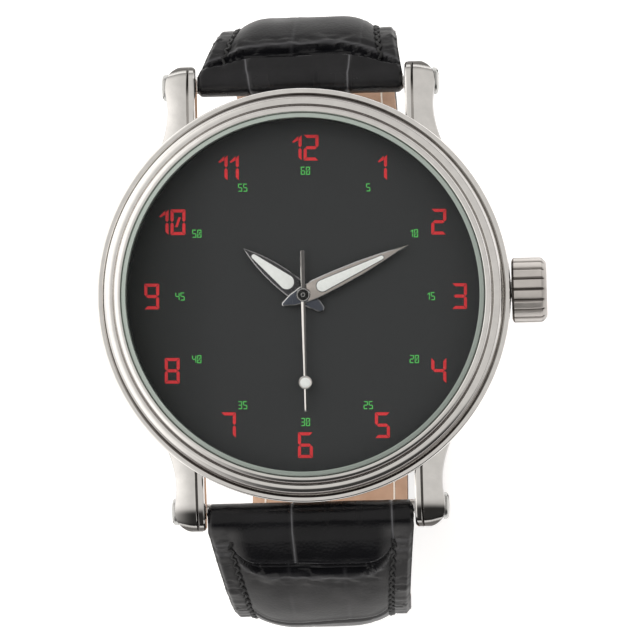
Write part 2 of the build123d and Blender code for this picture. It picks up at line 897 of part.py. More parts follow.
head_start = lug_outer + seat_gap
head_end = head_start + screw_head_height
shank_end = lug_inner - screw_shank_depth
with BuildPart() as lug_screws:
    with BuildSketch(Plane.XY.offset(bar_z)):
        Polygon(
            (shank_end, bar_y),
            (shank_end, bar_y + screw_shank_radius),
            (head_start, bar_y + screw_shank_radius),
            (head_start, bar_y + screw_head_radius),
            (head_end, bar_y + screw_head_radius),
            (head_end, bar_y),
        )
    revolve(axis=Axis((0, bar_y, bar_z), (1, 0, 0)))
    with Locations((head_end, bar_y, bar_z)):
        Box(
            2 * screw_slot_depth,
            2 * screw_head_radius,
            screw_slot_width,
            mode=Mode.SUBTRACT,
        )
    mirror(about=Plane.YZ)
    mirror(about=Plane.XZ)


def bends(turn, lean, flat_y):
    """Centre, radius, start and size of a strap half's three arcs at its wrist side.

    The first arc turns down from the bar, the second leans inwards, and the third meets
    the flat at the bottom of the loop. They are drawn for the 12 o'clock side.
    """
    lean_sin = sin(radians(lean))
    lean_cos = cos(radians(lean))
    corner_y = bar_y + turn
    corner_z = bar_z - strap_thick / 2 - turn
    ease = (1 - lean_sin) / lean_cos
    hollow = 1 - lean_cos
    side_radius = (corner_z - loop_bottom - ease * (corner_y - flat_y)) / (lean_sin - ease * hollow)
    bend_radius = (corner_y - flat_y - side_radius * hollow) / lean_cos
    return (
        ((bar_y, corner_z), turn, 90, -90),
        ((corner_y - side_radius, corner_z), side_radius, 0, -lean),
        ((flat_y, loop_bottom + bend_radius), bend_radius, -lean, lean - 90),
    )


def follow(side, arcs, offset):
    """Draw arcs in the current line at an offset from the wrist, and return their ends."""
    drawn = []
    for (y, z), radius, start, size in arcs:
        if side < 0:
            start = 180 - start
        drawn.append(CenterArc((side * y, z), radius + offset, start, side * size))
    return drawn[0] @ 0, drawn[-1] @ 1


upper_bends = bends(upper_turn_radius, upper_lean_angle, upper_flat_y)
lower_bends = bends(lower_turn_radius, lower_lean_angle, -lower_flat_y)
tail_bend_centre, tail_bend_radius = upper_bends[2][:2]


def upper_line(offset, end_offset):
    """Line of the 12 o'clock half at an offset, from its bar to the buckle's pivot."""
    start, arcs_end = follow(1, upper_bends, offset)
    end = Vector(pivot_y, loop_bottom - end_offset)
    Line(arcs_end, end)
    return start, end


def lower_line(offset, end_offset):
    """Line of the 6 o'clock half, through the buckle and out over the other half."""
    start, arcs_end = follow(-1, lower_bends, offset)
    level = loop_bottom - tail_offset - end_offset
    Polyline(
        arcs_end,
        (tail_step_start, loop_bottom - end_offset),
        (tail_step_end, level),
        (upper_flat_y, level),
    )
    curl = CenterArc(tail_bend_centre, tail_bend_radius + tail_offset + end_offset, -90, tail_turn_angle)
    return start, curl @ 1


def strap_face(line, low, high):
    """Face between two lines of a strap half, in the YZ plane."""
    with BuildSketch(Plane.YZ) as face:
        with BuildLine():
            low_start, low_end = line(*low)
            high_start, high_end = line(*high)
            Line(low_start, high_start)
            Line(low_end, high_end)
        make_face()
    return face.sketch


def pad_face(side, arcs, rise):
    """Face of the raised pad, from the roll round the bar to the end of the lean."""
    roll_top = bar_z + roll_radius
    pad_turn = arcs[0][1] + strap_thick + rise
    (lean_y, lean_z), lean_radius, _, lean = arcs[1]
    end_radius = lean_radius + strap_thick + pad_end_rise
    end = (
        side * (lean_y + end_radius * cos(radians(lean))),
        lean_z + end_radius * sin(radians(lean)),
    )
    with BuildSketch(Plane.YZ) as face:
        with BuildLine():
            low_start, low_end = follow(side, arcs[:2], lining_thick + layer_gap)
            Line(low_start, (side * bar_y, roll_top))
            bulge = CenterArc((side * bar_y, roll_top - pad_turn), pad_turn, 90, -90 * side)
            TangentArc(bulge @ 1, end, tangent=(0, -1))
            Line(end, low_end)
        make_face()
    return face.sketch


def filler_face(side, arcs, grow):
    """Face of the filling under a pad, grown on all sides by a given amount."""
    (turn_centre, turn_radius, _, _), (lean_centre, lean_radius, _, lean) = arcs[:2]
    inner = lining_thick + 2 * layer_gap - grow
    outer = lining_thick + filler_thick + grow
    shortened = (
        (turn_centre, turn_radius, filler_turn_angle, -filler_turn_angle),
        (lean_centre, lean_radius, 0, lean * filler_lean_share),
    )
    with BuildSketch(Plane.YZ) as face:
        with BuildLine():
            inner_start, inner_end = follow(side, shortened, inner)
            outer_start, outer_end = follow(side, shortened, outer)
            Line(inner_start, outer_start)
            Line(inner_end, outer_end)
        make_face()
    return face.sketch


def taper(inset):
    """Keep only what lies inside the strap's tapered width, less an inset at each edge."""
    wide = strap_width / 2 - inset
    narrow = strap_end_width / 2 - inset
    top = bar_z + strap_thick + lower_turn_radius
    bottom = loop_bottom - tail_offset - strap_thick - overrun
    with BuildSketch(Plane.XZ) as outline:
        Polygon(
            (-wide, top),
            (-wide, taper_top),
            (-narrow, taper_bottom),
            (-narrow, bottom),
            (narrow, bottom),
            (narrow, taper_bottom),
            (wide, taper_top),
            (wide, top),
        )
    extrude(outline.sketch, amount=2 * lug_reach, both=True, mode=Mode.INTERSECT)


lining_end = lining_thick - layer_gap
pivot_z = loop_bottom - pivot_offset
upper_start = lining_thick + layer_gap
tip_angle = radians(tail_turn_angle - 90)
tip_direction = (0, cos(tip_angle), sin(tip_angle))
tip_radius = tail_bend_radius + tail_offset + tail_thick / 2
tip_plane = Plane(
    origin=(
        0,
        tail_bend_centre[0] + tip_radius * tip_direction[1],
        tail_bend_centre[1] + tip_radius * tip_direction[2],
    ),
    x_dir=(0, -tip_direction[2], tip_direction[1]),
    z_dir=tip_direction,
)

# Filling of the two raised pads
with BuildPart() as strap_12_padding:
    extrude(filler_face(1, upper_bends, 0), amount=strap_width, both=True)
    taper(pad_inset + filler_inset)

with BuildPart() as strap_6_padding:
    extrude(filler_face(-1, lower_bends, 0), amount=strap_width, both=True)
    taper(pad_inset + filler_inset)

# Pads and pockets shaped apart, for the upper leathers below
with BuildPart() as upper_pad:
    extrude(pad_face(1, upper_bends, upper_pad_rise), amount=strap_width, both=True)
    taper(pad_inset)

with BuildPart() as lower_pad:
    extrude(pad_face(-1, lower_bends, lower_pad_rise), amount=strap_width, both=True)
    taper(pad_inset)

with BuildPart() as upper_pocket:
    extrude(filler_face(1, upper_bends, layer_gap), amount=strap_width, both=True)
    taper(pad_inset + filler_inset - layer_gap)

with BuildPart() as lower_pocket:
    extrude(filler_face(-1, lower_bends, layer_gap), amount=strap_width, both=True)
    taper(pad_inset + filler_inset - layer_gap)

# 12 o'clock half: lining and upper leather, rolled round the bar and the buckle's pivot
with BuildPart() as strap_12_lining:
    extrude(strap_face(upper_line, (0, 0), (lining_thick, lining_end)), amount=strap_width / 2, both=True)
    taper(0)
    cross_bar(roll_radius + layer_gap, bar_y, bar_z, strap_width, Mode.SUBTRACT)
    cross_bar(end_roll_radius + layer_gap, pivot_y, pivot_z, strap_width, Mode.SUBTRACT)
    with Locations((0, pivot_y, pivot_z)):
        Box(
            tongue_slot_width,
            2 * tongue_slot_length,
            2 * strap_thick,
            mode=Mode.SUBTRACT,
        )

with BuildPart() as strap_12_upper:
    extrude(
        strap_face(upper_line, (upper_start, upper_start), (strap_thick, end_thick)),
        amount=strap_width / 2,
        both=True,
    )
    cross_bar(roll_radius, bar_y, bar_z, strap_width / 2)
    cross_bar(end_roll_radius, pivot_y, pivot_z, strap_end_width / 2)
    taper(0)
    add(upper_pad.part)
    add(upper_pocket.part, mode=Mode.SUBTRACT)
    cross_bar(bar_radius + part_gap, bar_y, bar_z, strap_width, Mode.SUBTRACT)
    cross_bar(pivot_bar_radius + part_gap, pivot_y, pivot_z, strap_width, Mode.SUBTRACT)
    with Locations((0, pivot_y, pivot_z)):
        Box(
            tongue_slot_width,
            2 * tongue_slot_length,
            2 * strap_thick,
            mode=Mode.SUBTRACT,
        )

# 6 o'clock half: through the buckle, with a rounded tip and a row of holes
hole_y = pivot_y - tail_hole_distance
spare_holes = [(0, hole_y + step * tail_hole_pitch) for step in (1, 2)]


def cut_tail():
    """Round the tip of the tail and punch its holes in the current part."""
    with BuildSketch(tip_plane) as tip:
        Rectangle(strap_end_width, 2 * strap_width)
        with Locations((-strap_end_width / 2, 0)):
            Circle(strap_end_width / 2, mode=Mode.SUBTRACT)
    extrude(tip.sketch, amount=strap_thick, both=True, mode=Mode.SUBTRACT)
    with BuildSketch(Plane.XY.offset(loop_bottom)) as holes:
        with Locations((0, hole_y)):
            SlotOverall(tail_hole_length, tail_hole_width, rotation=90)
        with Locations(*spare_holes):
            Circle(spare_hole_radius)
    extrude(holes.sketch, amount=tail_offset + 2 * strap_thick, both=True, mode=Mode.SUBTRACT)


with BuildPart() as strap_6_lining:
    extrude(strap_face(lower_line, (0, 0), (lining_thick, lining_end)), amount=strap_width / 2, both=True)
    taper(0)
    cross_bar(roll_radius + layer_gap, -bar_y, bar_z, strap_width, Mode.SUBTRACT)
    cut_tail()

with BuildPart() as strap_6_upper:
    extrude(
        strap_face(lower_line, (upper_start, upper_start), (strap_thick, tail_thick)),
        amount=strap_width / 2,
        both=True,
    )
    cross_bar(roll_radius, -bar_y, bar_z, strap_width / 2)
    taper(0)
    add(lower_pad.part)
    add(lower_pocket.part, mode=Mode.SUBTRACT)
    cross_bar(bar_radius + part_gap, -bar_y, bar_z, strap_width, Mode.SUBTRACT)
    cut_tail()

# Buckle: frame with a round front bar, pivot bar and tongue
frame_inner = strap_end_width / 2 + frame_gap
frame_outer = frame_inner + frame_side_width
front_y = pivot_y - buckle_length
front_z = loop_bottom - frame_bar_offset
with BuildPart() as buckle_frame:
    with BuildSketch(Plane.YZ):
        SlotCenterPoint(
            ((pivot_y + front_y) / 2, (pivot_z + front_z) / 2),
            (pivot_y, pivot_z),
            2 * frame_bar_radius,
        )
    extrude(amount=frame_outer, both=True)
    with Locations((0, pivot_y + frame_bar_radius + seat_gap, loop_bottom)):
        Box(
            2 * frame_inner,
            2 * buckle_length,
            4 * frame_bar_offset,
            mode=Mode.SUBTRACT,
        )
    cross_bar(frame_bar_radius, front_y, front_z, frame_inner)
    with BuildSketch(Plane.XY.offset(loop_bottom)):
        with Locations((0, (pivot_y + front_y) / 2)):
            RectangleRounded(2 * frame_outer, buckle_length + 2 * frame_bar_radius, frame_corner)
    extrude(amount=2 * frame_bar_offset, both=True, mode=Mode.INTERSECT)
    cross_bar(pivot_bar_radius + seat_gap, pivot_y, pivot_z, frame_inner + pivot_bar_seat, Mode.SUBTRACT)

with BuildPart() as buckle_bar:
    cross_bar(pivot_bar_radius, pivot_y, pivot_z, frame_inner + pivot_bar_seat - part_gap)

with BuildPart() as buckle_tongue:
    half = tongue_thick / 2
    with BuildSketch(Plane.YZ):
        Polygon(
            (pivot_y, pivot_z - half),
            (pivot_y - tongue_knee_start + half / 2, pivot_z - half),
            (pivot_y - tongue_knee_end, loop_bottom - tongue_tip_offset - half),
            (front_y - tongue_overhang, loop_bottom - tongue_tip_offset - half),
            (front_y - tongue_overhang, loop_bottom - tongue_tip_offset + half),
            (pivot_y - tongue_knee_end - half / 2, loop_bottom - tongue_tip_offset + half),
            (pivot_y - tongue_knee_start, pivot_z + half),
            (pivot_y, pivot_z + half),
        )
        with Locations((pivot_y, pivot_z)):
            Circle(tongue_eye_radius)
            Circle(pivot_bar_radius + running_gap, mode=Mode.SUBTRACT)
    extrude(amount=tongue_width / 2, both=True)


def keeper_loop(middle_y):
    """Add a leather loop round both layers of the strap to the current part."""
    window_width = strap_end_width + 2 * keeper_gap
    window_height = tail_offset + tail_thick + 2 * keeper_gap
    window_z = loop_bottom - (tail_offset + tail_thick) / 2
    with BuildSketch(Plane.XZ.offset(-middle_y)) as loop:
        with Locations((0, window_z)):
            RectangleRounded(
                window_width + 2 * keeper_thick,
                window_height + 2 * keeper_thick,
                keeper_thick,
            )
            Rectangle(window_width, window_height, mode=Mode.SUBTRACT)
    extrude(loop.sketch, amount=keeper_width / 2, both=True)


# Keepers: one fixed beside the buckle, one free to slide along the strap
with BuildPart() as keeper_fixed:
    keeper_loop(fixed_keeper_y)

with BuildPart() as keeper_free:
    keeper_loop(free_keeper_y)

# Every piece is written under its own name
pieces = {
    "case_middle": case_middle,
    "bezel": bezel,
    "crystal": crystal,
    "crystal_gasket": crystal_gasket,
    "dial": dial,
    "dial_ring": dial_ring,
    "case_back": case_back,
    "case_back_gasket": case_back_gasket,
    "crown": crown,
    "crown_gasket": crown_gasket,
    "crown_tube": crown_tube,
    "stem": stem,
    "movement_ring": movement_ring,
    "main_plate": main_plate,
    "train_bridge": train_bridge,
    "rotor": rotor,
    "fifth_wheel": fifth_wheel,
    "second_wheel": second_wheel,
    "third_wheel": third_wheel,
    "centre_wheel": centre_wheel,
    "minute_wheel": minute_wheel,
    "hour_wheel": hour_wheel,
    "stator": stator,
    "coil": coil,
    "circuit_board": circuit_board,
    "battery": battery,
    "battery_clip": battery_clip,
    "hour_hand": hour_hand,
    "hour_hand_lume": hour_hand_lume,
    "minute_hand": minute_hand,
    "minute_hand_lume": minute_hand_lume,
    "second_hand": second_hand,
    "second_hand_lume": second_hand_lume,
    "strap_bars": strap_bars,
    "lug_screws": lug_screws,
    "strap_12_padding": strap_12_padding,
    "strap_12_lining": strap_12_lining,
    "strap_12_upper": strap_12_upper,
    "strap_6_padding": strap_6_padding,
    "strap_6_lining": strap_6_lining,
    "strap_6_upper": strap_6_upper,
    "buckle_frame": buckle_frame,
    "buckle_bar": buckle_bar,
    "buckle_tongue": buckle_tongue,
    "keeper_fixed": keeper_fixed,
    "keeper_free": keeper_free,
}
os.makedirs("parts", exist_ok=True)
for name, piece in pieces.items():
    piece.part.label = name
    export_step(piece.part, f"parts/{name}.step")
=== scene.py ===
import math
from collections import namedtuple
import bmesh
import bpy
from mathutils import Matrix, Vector, noise


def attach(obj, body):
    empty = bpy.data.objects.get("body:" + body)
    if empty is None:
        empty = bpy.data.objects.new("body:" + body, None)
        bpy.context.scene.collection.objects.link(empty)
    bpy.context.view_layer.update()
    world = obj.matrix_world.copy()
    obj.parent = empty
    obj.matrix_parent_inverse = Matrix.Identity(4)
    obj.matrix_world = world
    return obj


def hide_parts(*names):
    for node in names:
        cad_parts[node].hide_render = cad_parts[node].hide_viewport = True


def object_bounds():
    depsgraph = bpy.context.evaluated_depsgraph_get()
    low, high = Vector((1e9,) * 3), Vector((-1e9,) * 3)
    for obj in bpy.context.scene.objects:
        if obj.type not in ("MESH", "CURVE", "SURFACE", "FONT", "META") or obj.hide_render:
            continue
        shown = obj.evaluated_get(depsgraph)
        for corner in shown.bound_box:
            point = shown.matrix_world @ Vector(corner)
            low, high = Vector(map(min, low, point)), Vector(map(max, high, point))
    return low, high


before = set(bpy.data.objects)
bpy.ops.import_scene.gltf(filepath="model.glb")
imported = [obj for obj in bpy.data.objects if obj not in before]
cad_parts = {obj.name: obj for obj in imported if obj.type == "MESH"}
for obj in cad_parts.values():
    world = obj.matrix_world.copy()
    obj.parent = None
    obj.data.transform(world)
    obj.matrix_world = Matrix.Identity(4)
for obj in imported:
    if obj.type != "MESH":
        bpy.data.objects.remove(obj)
cad_low, cad_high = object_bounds()

# Meshes are drawn in millimetres in the frame's axes and scaled to metres as they are made
MM = 0.001
WELD = 0.000002
ROUND_SIDES, FACE_SIDES, SMALL_SIDES, PIN_SIDES = 256, 128, 48, 32
# Edges that bend more than these angles in degrees stay sharp
METAL_SHARP, SOFT_SHARP, THREAD_SHARP = 32.0, 50.0, 60.0

# Case
CASE_RADIUS, CASE_BORE, CASE_BOTTOM = 22.0, 19.3, 1.2
SEAT_Z, CREST_Z, BAND_FOOT = 6.55, 6.52, 5.0

# Bezel and crystal
BORE_RADIUS, BEZEL_RADIUS = 19.27, 21.15
BEZEL_FOOT, BEZEL_STEP = 6.62, 7.5
SMALL_BEAD, SMALL_BEAD_RADIUS = (19.43, 8.51), 0.62
BROAD_BEAD_Z, BROAD_BEAD_RADIUS = 7.64, 0.83
CRYSTAL_TOP, CRYSTAL_FOOT = 9.55, 7.95
CRYSTAL_RADIUS, CRYSTAL_BEVEL = 19.2, 0.47
CRYSTAL_FLAT = CRYSTAL_RADIUS - CRYSTAL_BEVEL
# How much painted shade darkens the bezel's grooves round the clock, in degrees: least at the bright upper
# left
GROOVE_PAINTED_SHADE = ((0, 1.0), (25, 0.9), (45, 0.55), (75, 0.3), (100, 0.35), (120, 0.85), (140, 1.0), (215, 1.0),
                (240, 0.7), (262, 0.35), (285, 0.0), (315, 0.1), (335, 0.6), (360, 1.0))

# Lugs: y runs from the case outward, the bar lies across them
LUG_INNER, LUG_OUTER = 11.2, 14.2
LUG_ROOT, LUG_FOOT, LUG_WAIST, LUG_REACH = 12.0, 14.4, 20.4, 24.9
LUG_FLARE, LUG_SWELL = 1.7, 0.28
LUG_TOP, LUG_TIP_Z = 4.95, 2.1
LUG_BEND_Y = 17.6
LUG_CROWN_Y, LUG_CROWN_DROP = 22.3, 0.5
LUG_LINE = 12.0
BELLY_START, BELLY_LOW, BELLY_END = 17.0, 22.6, 24.4
BELLY_DROP, BELLY_RISE, NOSE_RISE = 0.8, 0.4, 1.15
BAR_Y, BAR_Z = 22.7, 2.2
SCREW_SLOT, SCREW_SLOT_TURN = (0.25, 1.7, 0.16), 35
# Rows of a lug, closer together towards its tip
LUG_ROWS = ((LUG_ROOT, 21.6, 28), (21.6, 24.2, 26), (24.2, 24.7, 10), (24.7, LUG_REACH - 0.01, 8))
LUG_PLACES = ((-1, 1, "11"), (1, 1, "1"), (-1, -1, "7"), (1, -1, "5"))

# Numbers printed on the dial, turned a little as in the photograph
DIAL_TOP, PRINT_RISE = 6.1, 0.035
ART_TURN = math.radians(1.4)
ART_RIGHT = Vector((math.cos(ART_TURN), -math.sin(ART_TURN)))
ART_UP = Vector((math.sin(ART_TURN), math.cos(ART_TURN)))
ART_CENTRE = ART_RIGHT * 0.18 - ART_UP * 0.12
# Spans of the ring of numbers, then height, width, stroke and gap of a number
HOUR_SPANS, HOUR_SIZES = (16.36, 15.8), (2.72, 1.58, 0.32, 0.22)
MINUTE_SPANS, MINUTE_SIZES = (13.35, 13.35), (0.84, 0.44, 0.09, 0.1)
ONE_WIDTH = 0.62
SEGMENTS = {"0": "abcdefs", "1": "bci", "2": "abged", "3": "abgcd", "4": "fgbc", "5": "afgcd",
            "6": "afgcde", "7": "abc", "8": "abcdefg", "9": "abcdfg"}

# Hands: where they point on the clock in degrees, and their levels
HOUR_CLOCK, MINUTE_CLOCK, SECOND_CLOCK = 309.2, 66.0, 180.0
HOUR_LOW, HOUR_HIGH = 6.5, 6.72
MINUTE_LOW, MINUTE_HIGH = 6.97, 7.17
SECOND_LOW, SECOND_HIGH, SECOND_DOT = 7.38, 7.52, 9.3
HUB_RADIUS, HUB_TOP, PIN_TOP = 0.56, 7.6, 7.84

# Crown
CROWN_IN, CROWN_OUT, CROWN_RADIUS, CROWN_Z = 22.08, 25.8, 3.45, 3.95
CROWN_FLUTES, FLUTE_DEPTH, FLUTE_SAMPLES = 18, 0.3, 14
CROWN_BORE, BORE_DEPTH = 1.7, 1.8

# Strap and keepers
LOOP_BOTTOM = -46.0
LAYER_DROP = 3.0
STRAP_THICK = 2.8
SIDE_PAD, END_PAD = 3.15, 2.95
WRIST_HALF, END_HALF = 11.0, 9.0
# Depths below the dial between which the strap narrows to the buckle and stops leaning aside
NARROWING, STRAIGHTENING = (8.0, 24.0), (14.0, 36.0)
CORNER_SPACING, BEND_SPACING, RUN_SPACING = 0.2, 0.42, 0.45
PIVOT_Y, PIVOT_Z = -3.0, -47.25
LEATHER_FOOT, JOIN_HEIGHT = 1.05, 2.72
LEATHER_PLACES, LINING_PLACES = 10, 40
# The leather turns round the bar at the lugs and round the buckle's bar; turns are in degrees
ROLL_RADIUS, ROLL_FOOT, ROLL_START, ROLL_STEPS = 1.6, 0.8, 290, 44
PIVOT_ROLL, PIVOT_ROLL_FOOT, PIVOT_TURNS = 1.28, 0.78, (-100, -268, 20)
TIP_LENGTH = 9.0
# The lower half steps down to its second layer, then follows the upper half's bend by these turns;
# its length there is measured at TAIL_MIDDLE below the bend
STEP_START, STEP_END = 12.2, 5.6
TAIL_START, TAIL_END, TAIL_STEPS, TAIL_MIDDLE = -90, -52, 40, 4.5
# Half sizes of the tongue's slot at its pivot; centre, radius and half length of the other slots
TONGUE_SLOT = (1.3, 4.5, 3.0)
TONGUE_HOLES = ((-8.35, 1.15, 1.45), (-1.85, 0.9, 0.0001), (4.65, 0.9, 0.0001))
HOLE_LOW, HOLE_HIGH = LOOP_BOTTOM - 7.8, LOOP_BOTTOM - 1.0
STITCH_PITCH, STITCH_SWING, STITCH_RADIUS, STITCH_INSET = 0.98, 0.17, 0.19, 2.05
SEAM_PITCH, SEAM_DIP, SEAM_RADIUS, SEAM_INSET, SEAM_START = 1.9, 0.05, 0.11, 1.5, 1.5
LINING_INSET, LINING_TOP = 0.05, 0.95
KEEPER_CENTRE_Z, KEEPER_HALF_X, KEEPER_HALF_Z = -48.7, 9.3, 3.0
KEEPER_WALL, KEEPER_WIDE, KEEPER_THREAD = 1.0, 3.6, 0.13
KEEPER_INNER_CORNER, KEEPER_CORNER = 1.4, 2.2
FIXED_KEEPER_Y, FREE_KEEPER_Y = 0.6, 6.4

# Studio
FLOOR_SIZE, FLOOR_DROP = 6.0, 0.0001
SKY_LEVEL = 0.72
CAMERA_AWAY, VIEW_HALF, AIM_HEIGHT = 0.56, 0.03407, 0.008
VIEW_RIGHT, VIEW_DOWN = 2.03, 2.9
TILT_RIGHT, TILT_DOWN = math.radians(2.6), math.radians(1.5)


# Numbers and outlines
def share_between(value, low, high):
    return min(max((value - low) / (high - low), 0.0), 1.0)


def smoothstep(value, low, high):
    part = share_between(value, low, high)
    return part * part * (3 - 2 * part)


def bell(value, width):
    return math.exp(-(value / width) ** 2)


def steps(start, end, count):
    return [start + (end - start) * index / count for index in range(count + 1)]


def between(table, place):
    """Straight-line value of a table of (place, value) pairs, zero outside it."""
    for (low, first), (high, second) in zip(table, table[1:]):
        if low <= place <= high:
            return first + (second - first) * (place - low) / (high - low)
    return 0.0


def arc(centre, radius, start, end, count=8):
    return [(centre[0] + radius * math.cos(math.radians(turn)),
             centre[1] + radius * math.sin(math.radians(turn))) for turn in steps(start, end, count)]


def rectangle(x, y, half_x, half_y):
    return [(x - half_x, y - half_y), (x + half_x, y - half_y), (x + half_x, y + half_y),
            (x - half_x, y + half_y)]


def shrunk(outline, inset):
    """The outline moved inward along its corners' bisectors; the outline runs anticlockwise."""
    count = len(outline)
    result = []
    for index in range(count):
        before, here, after = (Vector(outline[(index + step) % count]) for step in (-1, 0, 1))
        into, out = (here - before).normalized(), (after - here).normalized()
        normal = Vector((-into.y - out.y, into.x + out.x))
        normal.normalize()
        spread = max(0.35, normal.dot(Vector((-into.y, into.x))))
        result.append(tuple(here + normal * inset / spread))
    return result


# Surfaces: each is a list of points and a list of faces
def skin(rows, wrap_rows=False):
    """Faces through rows of points, each row a closed loop; rows that don't wrap get end caps."""
    count, row_count = len(rows[0]), len(rows)
    faces = []
    for row in range(row_count if wrap_rows else row_count - 1):
        near, far = row * count, (row + 1) % row_count * count
        for index in range(count):
            after = (index + 1) % count
            faces.append((near + index, near + after, far + after, far + index))
    if not wrap_rows:
        faces.append(tuple(range(count)))
        faces.append(tuple(range((row_count - 1) * count, row_count * count)))
    return [point for row in rows for point in row], faces


def lathe(profile, sides=ROUND_SIDES, centre=(0.0, 0.0)):
    """A solid turned about an upright axis; the profile is (radius, z)."""
    return skin([[(centre[0] + r * math.cos(turn), centre[1] + r * math.sin(turn), z) for r, z in profile]
                 for turn in steps(0.0, math.tau, sides)[:-1]], wrap_rows=True)


def joined(parts):
    points, faces = [], []
    for part_points, part_faces in parts:
        start = len(points)
        points.extend(part_points)
        faces.extend(tuple(start + index for index in face) for face in part_faces)
    return points, faces


def prism(outline, low, high, inset=0.0, drop=0.0):
    """An upright prism of a plan outline, its top edge broken by a bevel where it has an inset."""
    rows = [[(x, y, low) for x, y in outline], [(x, y, high - drop) for x, y in outline]]
    if inset:
        rows.append([(x, y, high) for x, y in shrunk(outline, inset)])
    return skin(rows)


def tube(path, radius, sides=6, closed=False):
    """A round tube along points, its frame carried along without twist."""
    count = len(path)
    rows = []
    side = None
    for index in range(count):
        before = Vector(path[(index - 1) % count] if closed else path[max(index - 1, 0)])
        after = Vector(path[(index + 1) % count] if closed else path[min(index + 1, count - 1)])
        along = (after - before).normalized()
        if side is None:
            side = along.orthogonal().normalized()
        side = (side - along * side.dot(along)).normalized()
        other = along.cross(side)
        rows.append([tuple(Vector(path[index]) + radius * (side * math.cos(turn) + other * math.sin(turn)))
                     for turn in steps(0.0, math.tau, sides)[:-1]])
    return skin(rows, wrap_rows=closed)


# Pieces
def add_object(name, data):
    obj = bpy.data.objects.new(name, data)
    bpy.context.collection.objects.link(obj)
    return obj


def clean_mesh(name, points, faces):
    """A welded mesh with its normals outward, from points in millimetres."""
    mesh = bpy.data.meshes.new(name)
    mesh.from_pydata([Vector(point) * MM for point in points], [], faces)
    work = bmesh.new()
    work.from_mesh(mesh)
    bmesh.ops.remove_doubles(work, verts=work.verts, dist=WELD)
    bmesh.ops.recalc_face_normals(work, faces=work.faces)
    work.to_mesh(mesh)
    work.free()
    return mesh


def finish_mesh(obj, sharp):
    for polygon in obj.data.polygons:
        polygon.use_smooth = True
    obj.data.set_sharp_from_angle(angle=math.radians(sharp))


def build(name, surface, look, body="case", sharp=METAL_SHARP):
    """A closed piece of one surface and one look, riding a body."""
    obj = add_object(name, clean_mesh(name, *surface))
    obj.data.materials.append(look)
    finish_mesh(obj, sharp)
    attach(obj, body)
    return obj


def subtract(obj, surface, sharp):
    """Cuts a closed surface out of a piece for good."""
    cutter = add_object("cutter", clean_mesh("cutter", *surface))
    cut = obj.modifiers.new("cut", "BOOLEAN")
    cut.operation, cut.solver, cut.object = "DIFFERENCE", "EXACT", cutter
    shape = bpy.data.meshes.new_from_object(obj.evaluated_get(bpy.context.evaluated_depsgraph_get()))
    obj.modifiers.clear()
    obj.data = shape
    bpy.data.objects.remove(cutter)
    finish_mesh(obj, sharp)


def mark_painted_shade(obj, rule):
    """Marks each face with how much painted shade darkens it, from its centre in millimetres and its normal.
    """
    layer = obj.data.attributes.new("dark", "FLOAT", "FACE")
    for index, polygon in enumerate(obj.data.polygons):
        layer.data[index].value = rule(polygon.center / MM, polygon.normal)


# Shader nodes
def set_inputs(tree, node, inputs):
    """Links each input to another node's output or gives it a plain value; colours have three parts."""
    for key, value in inputs.items():
        socket = node.inputs[key]
        if isinstance(value, bpy.types.NodeSocket):
            tree.links.new(value, socket)
        elif socket.type == "RGBA":
            socket.default_value = (*value, 1.0)
        else:
            socket.default_value = value


def add_node(tree, kind, inputs, **settings):
    node = tree.nodes.new(kind)
    for name, value in settings.items():
        setattr(node, name, value)
    set_inputs(tree, node, inputs)
    return node


def place_in_frame(tree):
    return tree.nodes.new("ShaderNodeTexCoord").outputs["Object"]


def noise_value(tree, scale, detail=3.0, stretch=(1.0, 1.0, 1.0)):
    spread = add_node(tree, "ShaderNodeMapping", {"Vector": place_in_frame(tree), "Scale": stretch})
    return add_node(tree, "ShaderNodeTexNoise", {"Vector": spread.outputs["Vector"], "Scale": scale,
                                                 "Detail": detail}).outputs["Fac"]


def ranged(tree, source, low, high, from_low=0.3, from_high=0.7, **settings):
    return add_node(tree, "ShaderNodeMapRange", {"Value": source, "From Min": from_low, "From Max": from_high,
                                                 "To Min": low, "To Max": high}, **settings).outputs["Result"]


def mixed(tree, factor, first, second):
    """A blend of two colours; a colour mix has its factor at input 0 and its colours at 6 and 7."""
    return add_node(tree, "ShaderNodeMix", {0: factor, 6: first, 7: second}, data_type="RGBA").outputs[2]


def maths(tree, operation, first, second):
    return add_node(tree, "ShaderNodeMath", {0: first, 1: second}, operation=operation).outputs["Value"]


def marked(tree, name):
    """The value that a mesh attribute gives."""
    return add_node(tree, "ShaderNodeAttribute", {}, attribute_name=name).outputs["Fac"]


def bumped(tree, height, strength, distance):
    return add_node(tree, "ShaderNodeBump", {"Height": height, "Strength": strength,
                                             "Distance": distance}).outputs["Normal"]


# Looks
DIAL_TONE, DIAL_PAINTED_SHADE = (0.030, 0.0315, 0.033), (0.016, 0.0175, 0.0175)
STEEL_TONE = (0.80, 0.785, 0.765)
# Leather: painted sheen lightens it between the first two tones; wear and painted highlights take the third
PAINTED_SHEEN_DARK, PAINTED_SHEEN_LIGHT, WEAR_AND_HIGHLIGHT_TONE = (0.030, 0.030, 0.031), (0.052, 0.051, 0.052), (0.13, 0.13, 0.14)


def new_material(name):
    material = bpy.data.materials.new(name)
    material.use_nodes = True
    return material, material.node_tree, material.node_tree.nodes["Principled BSDF"]


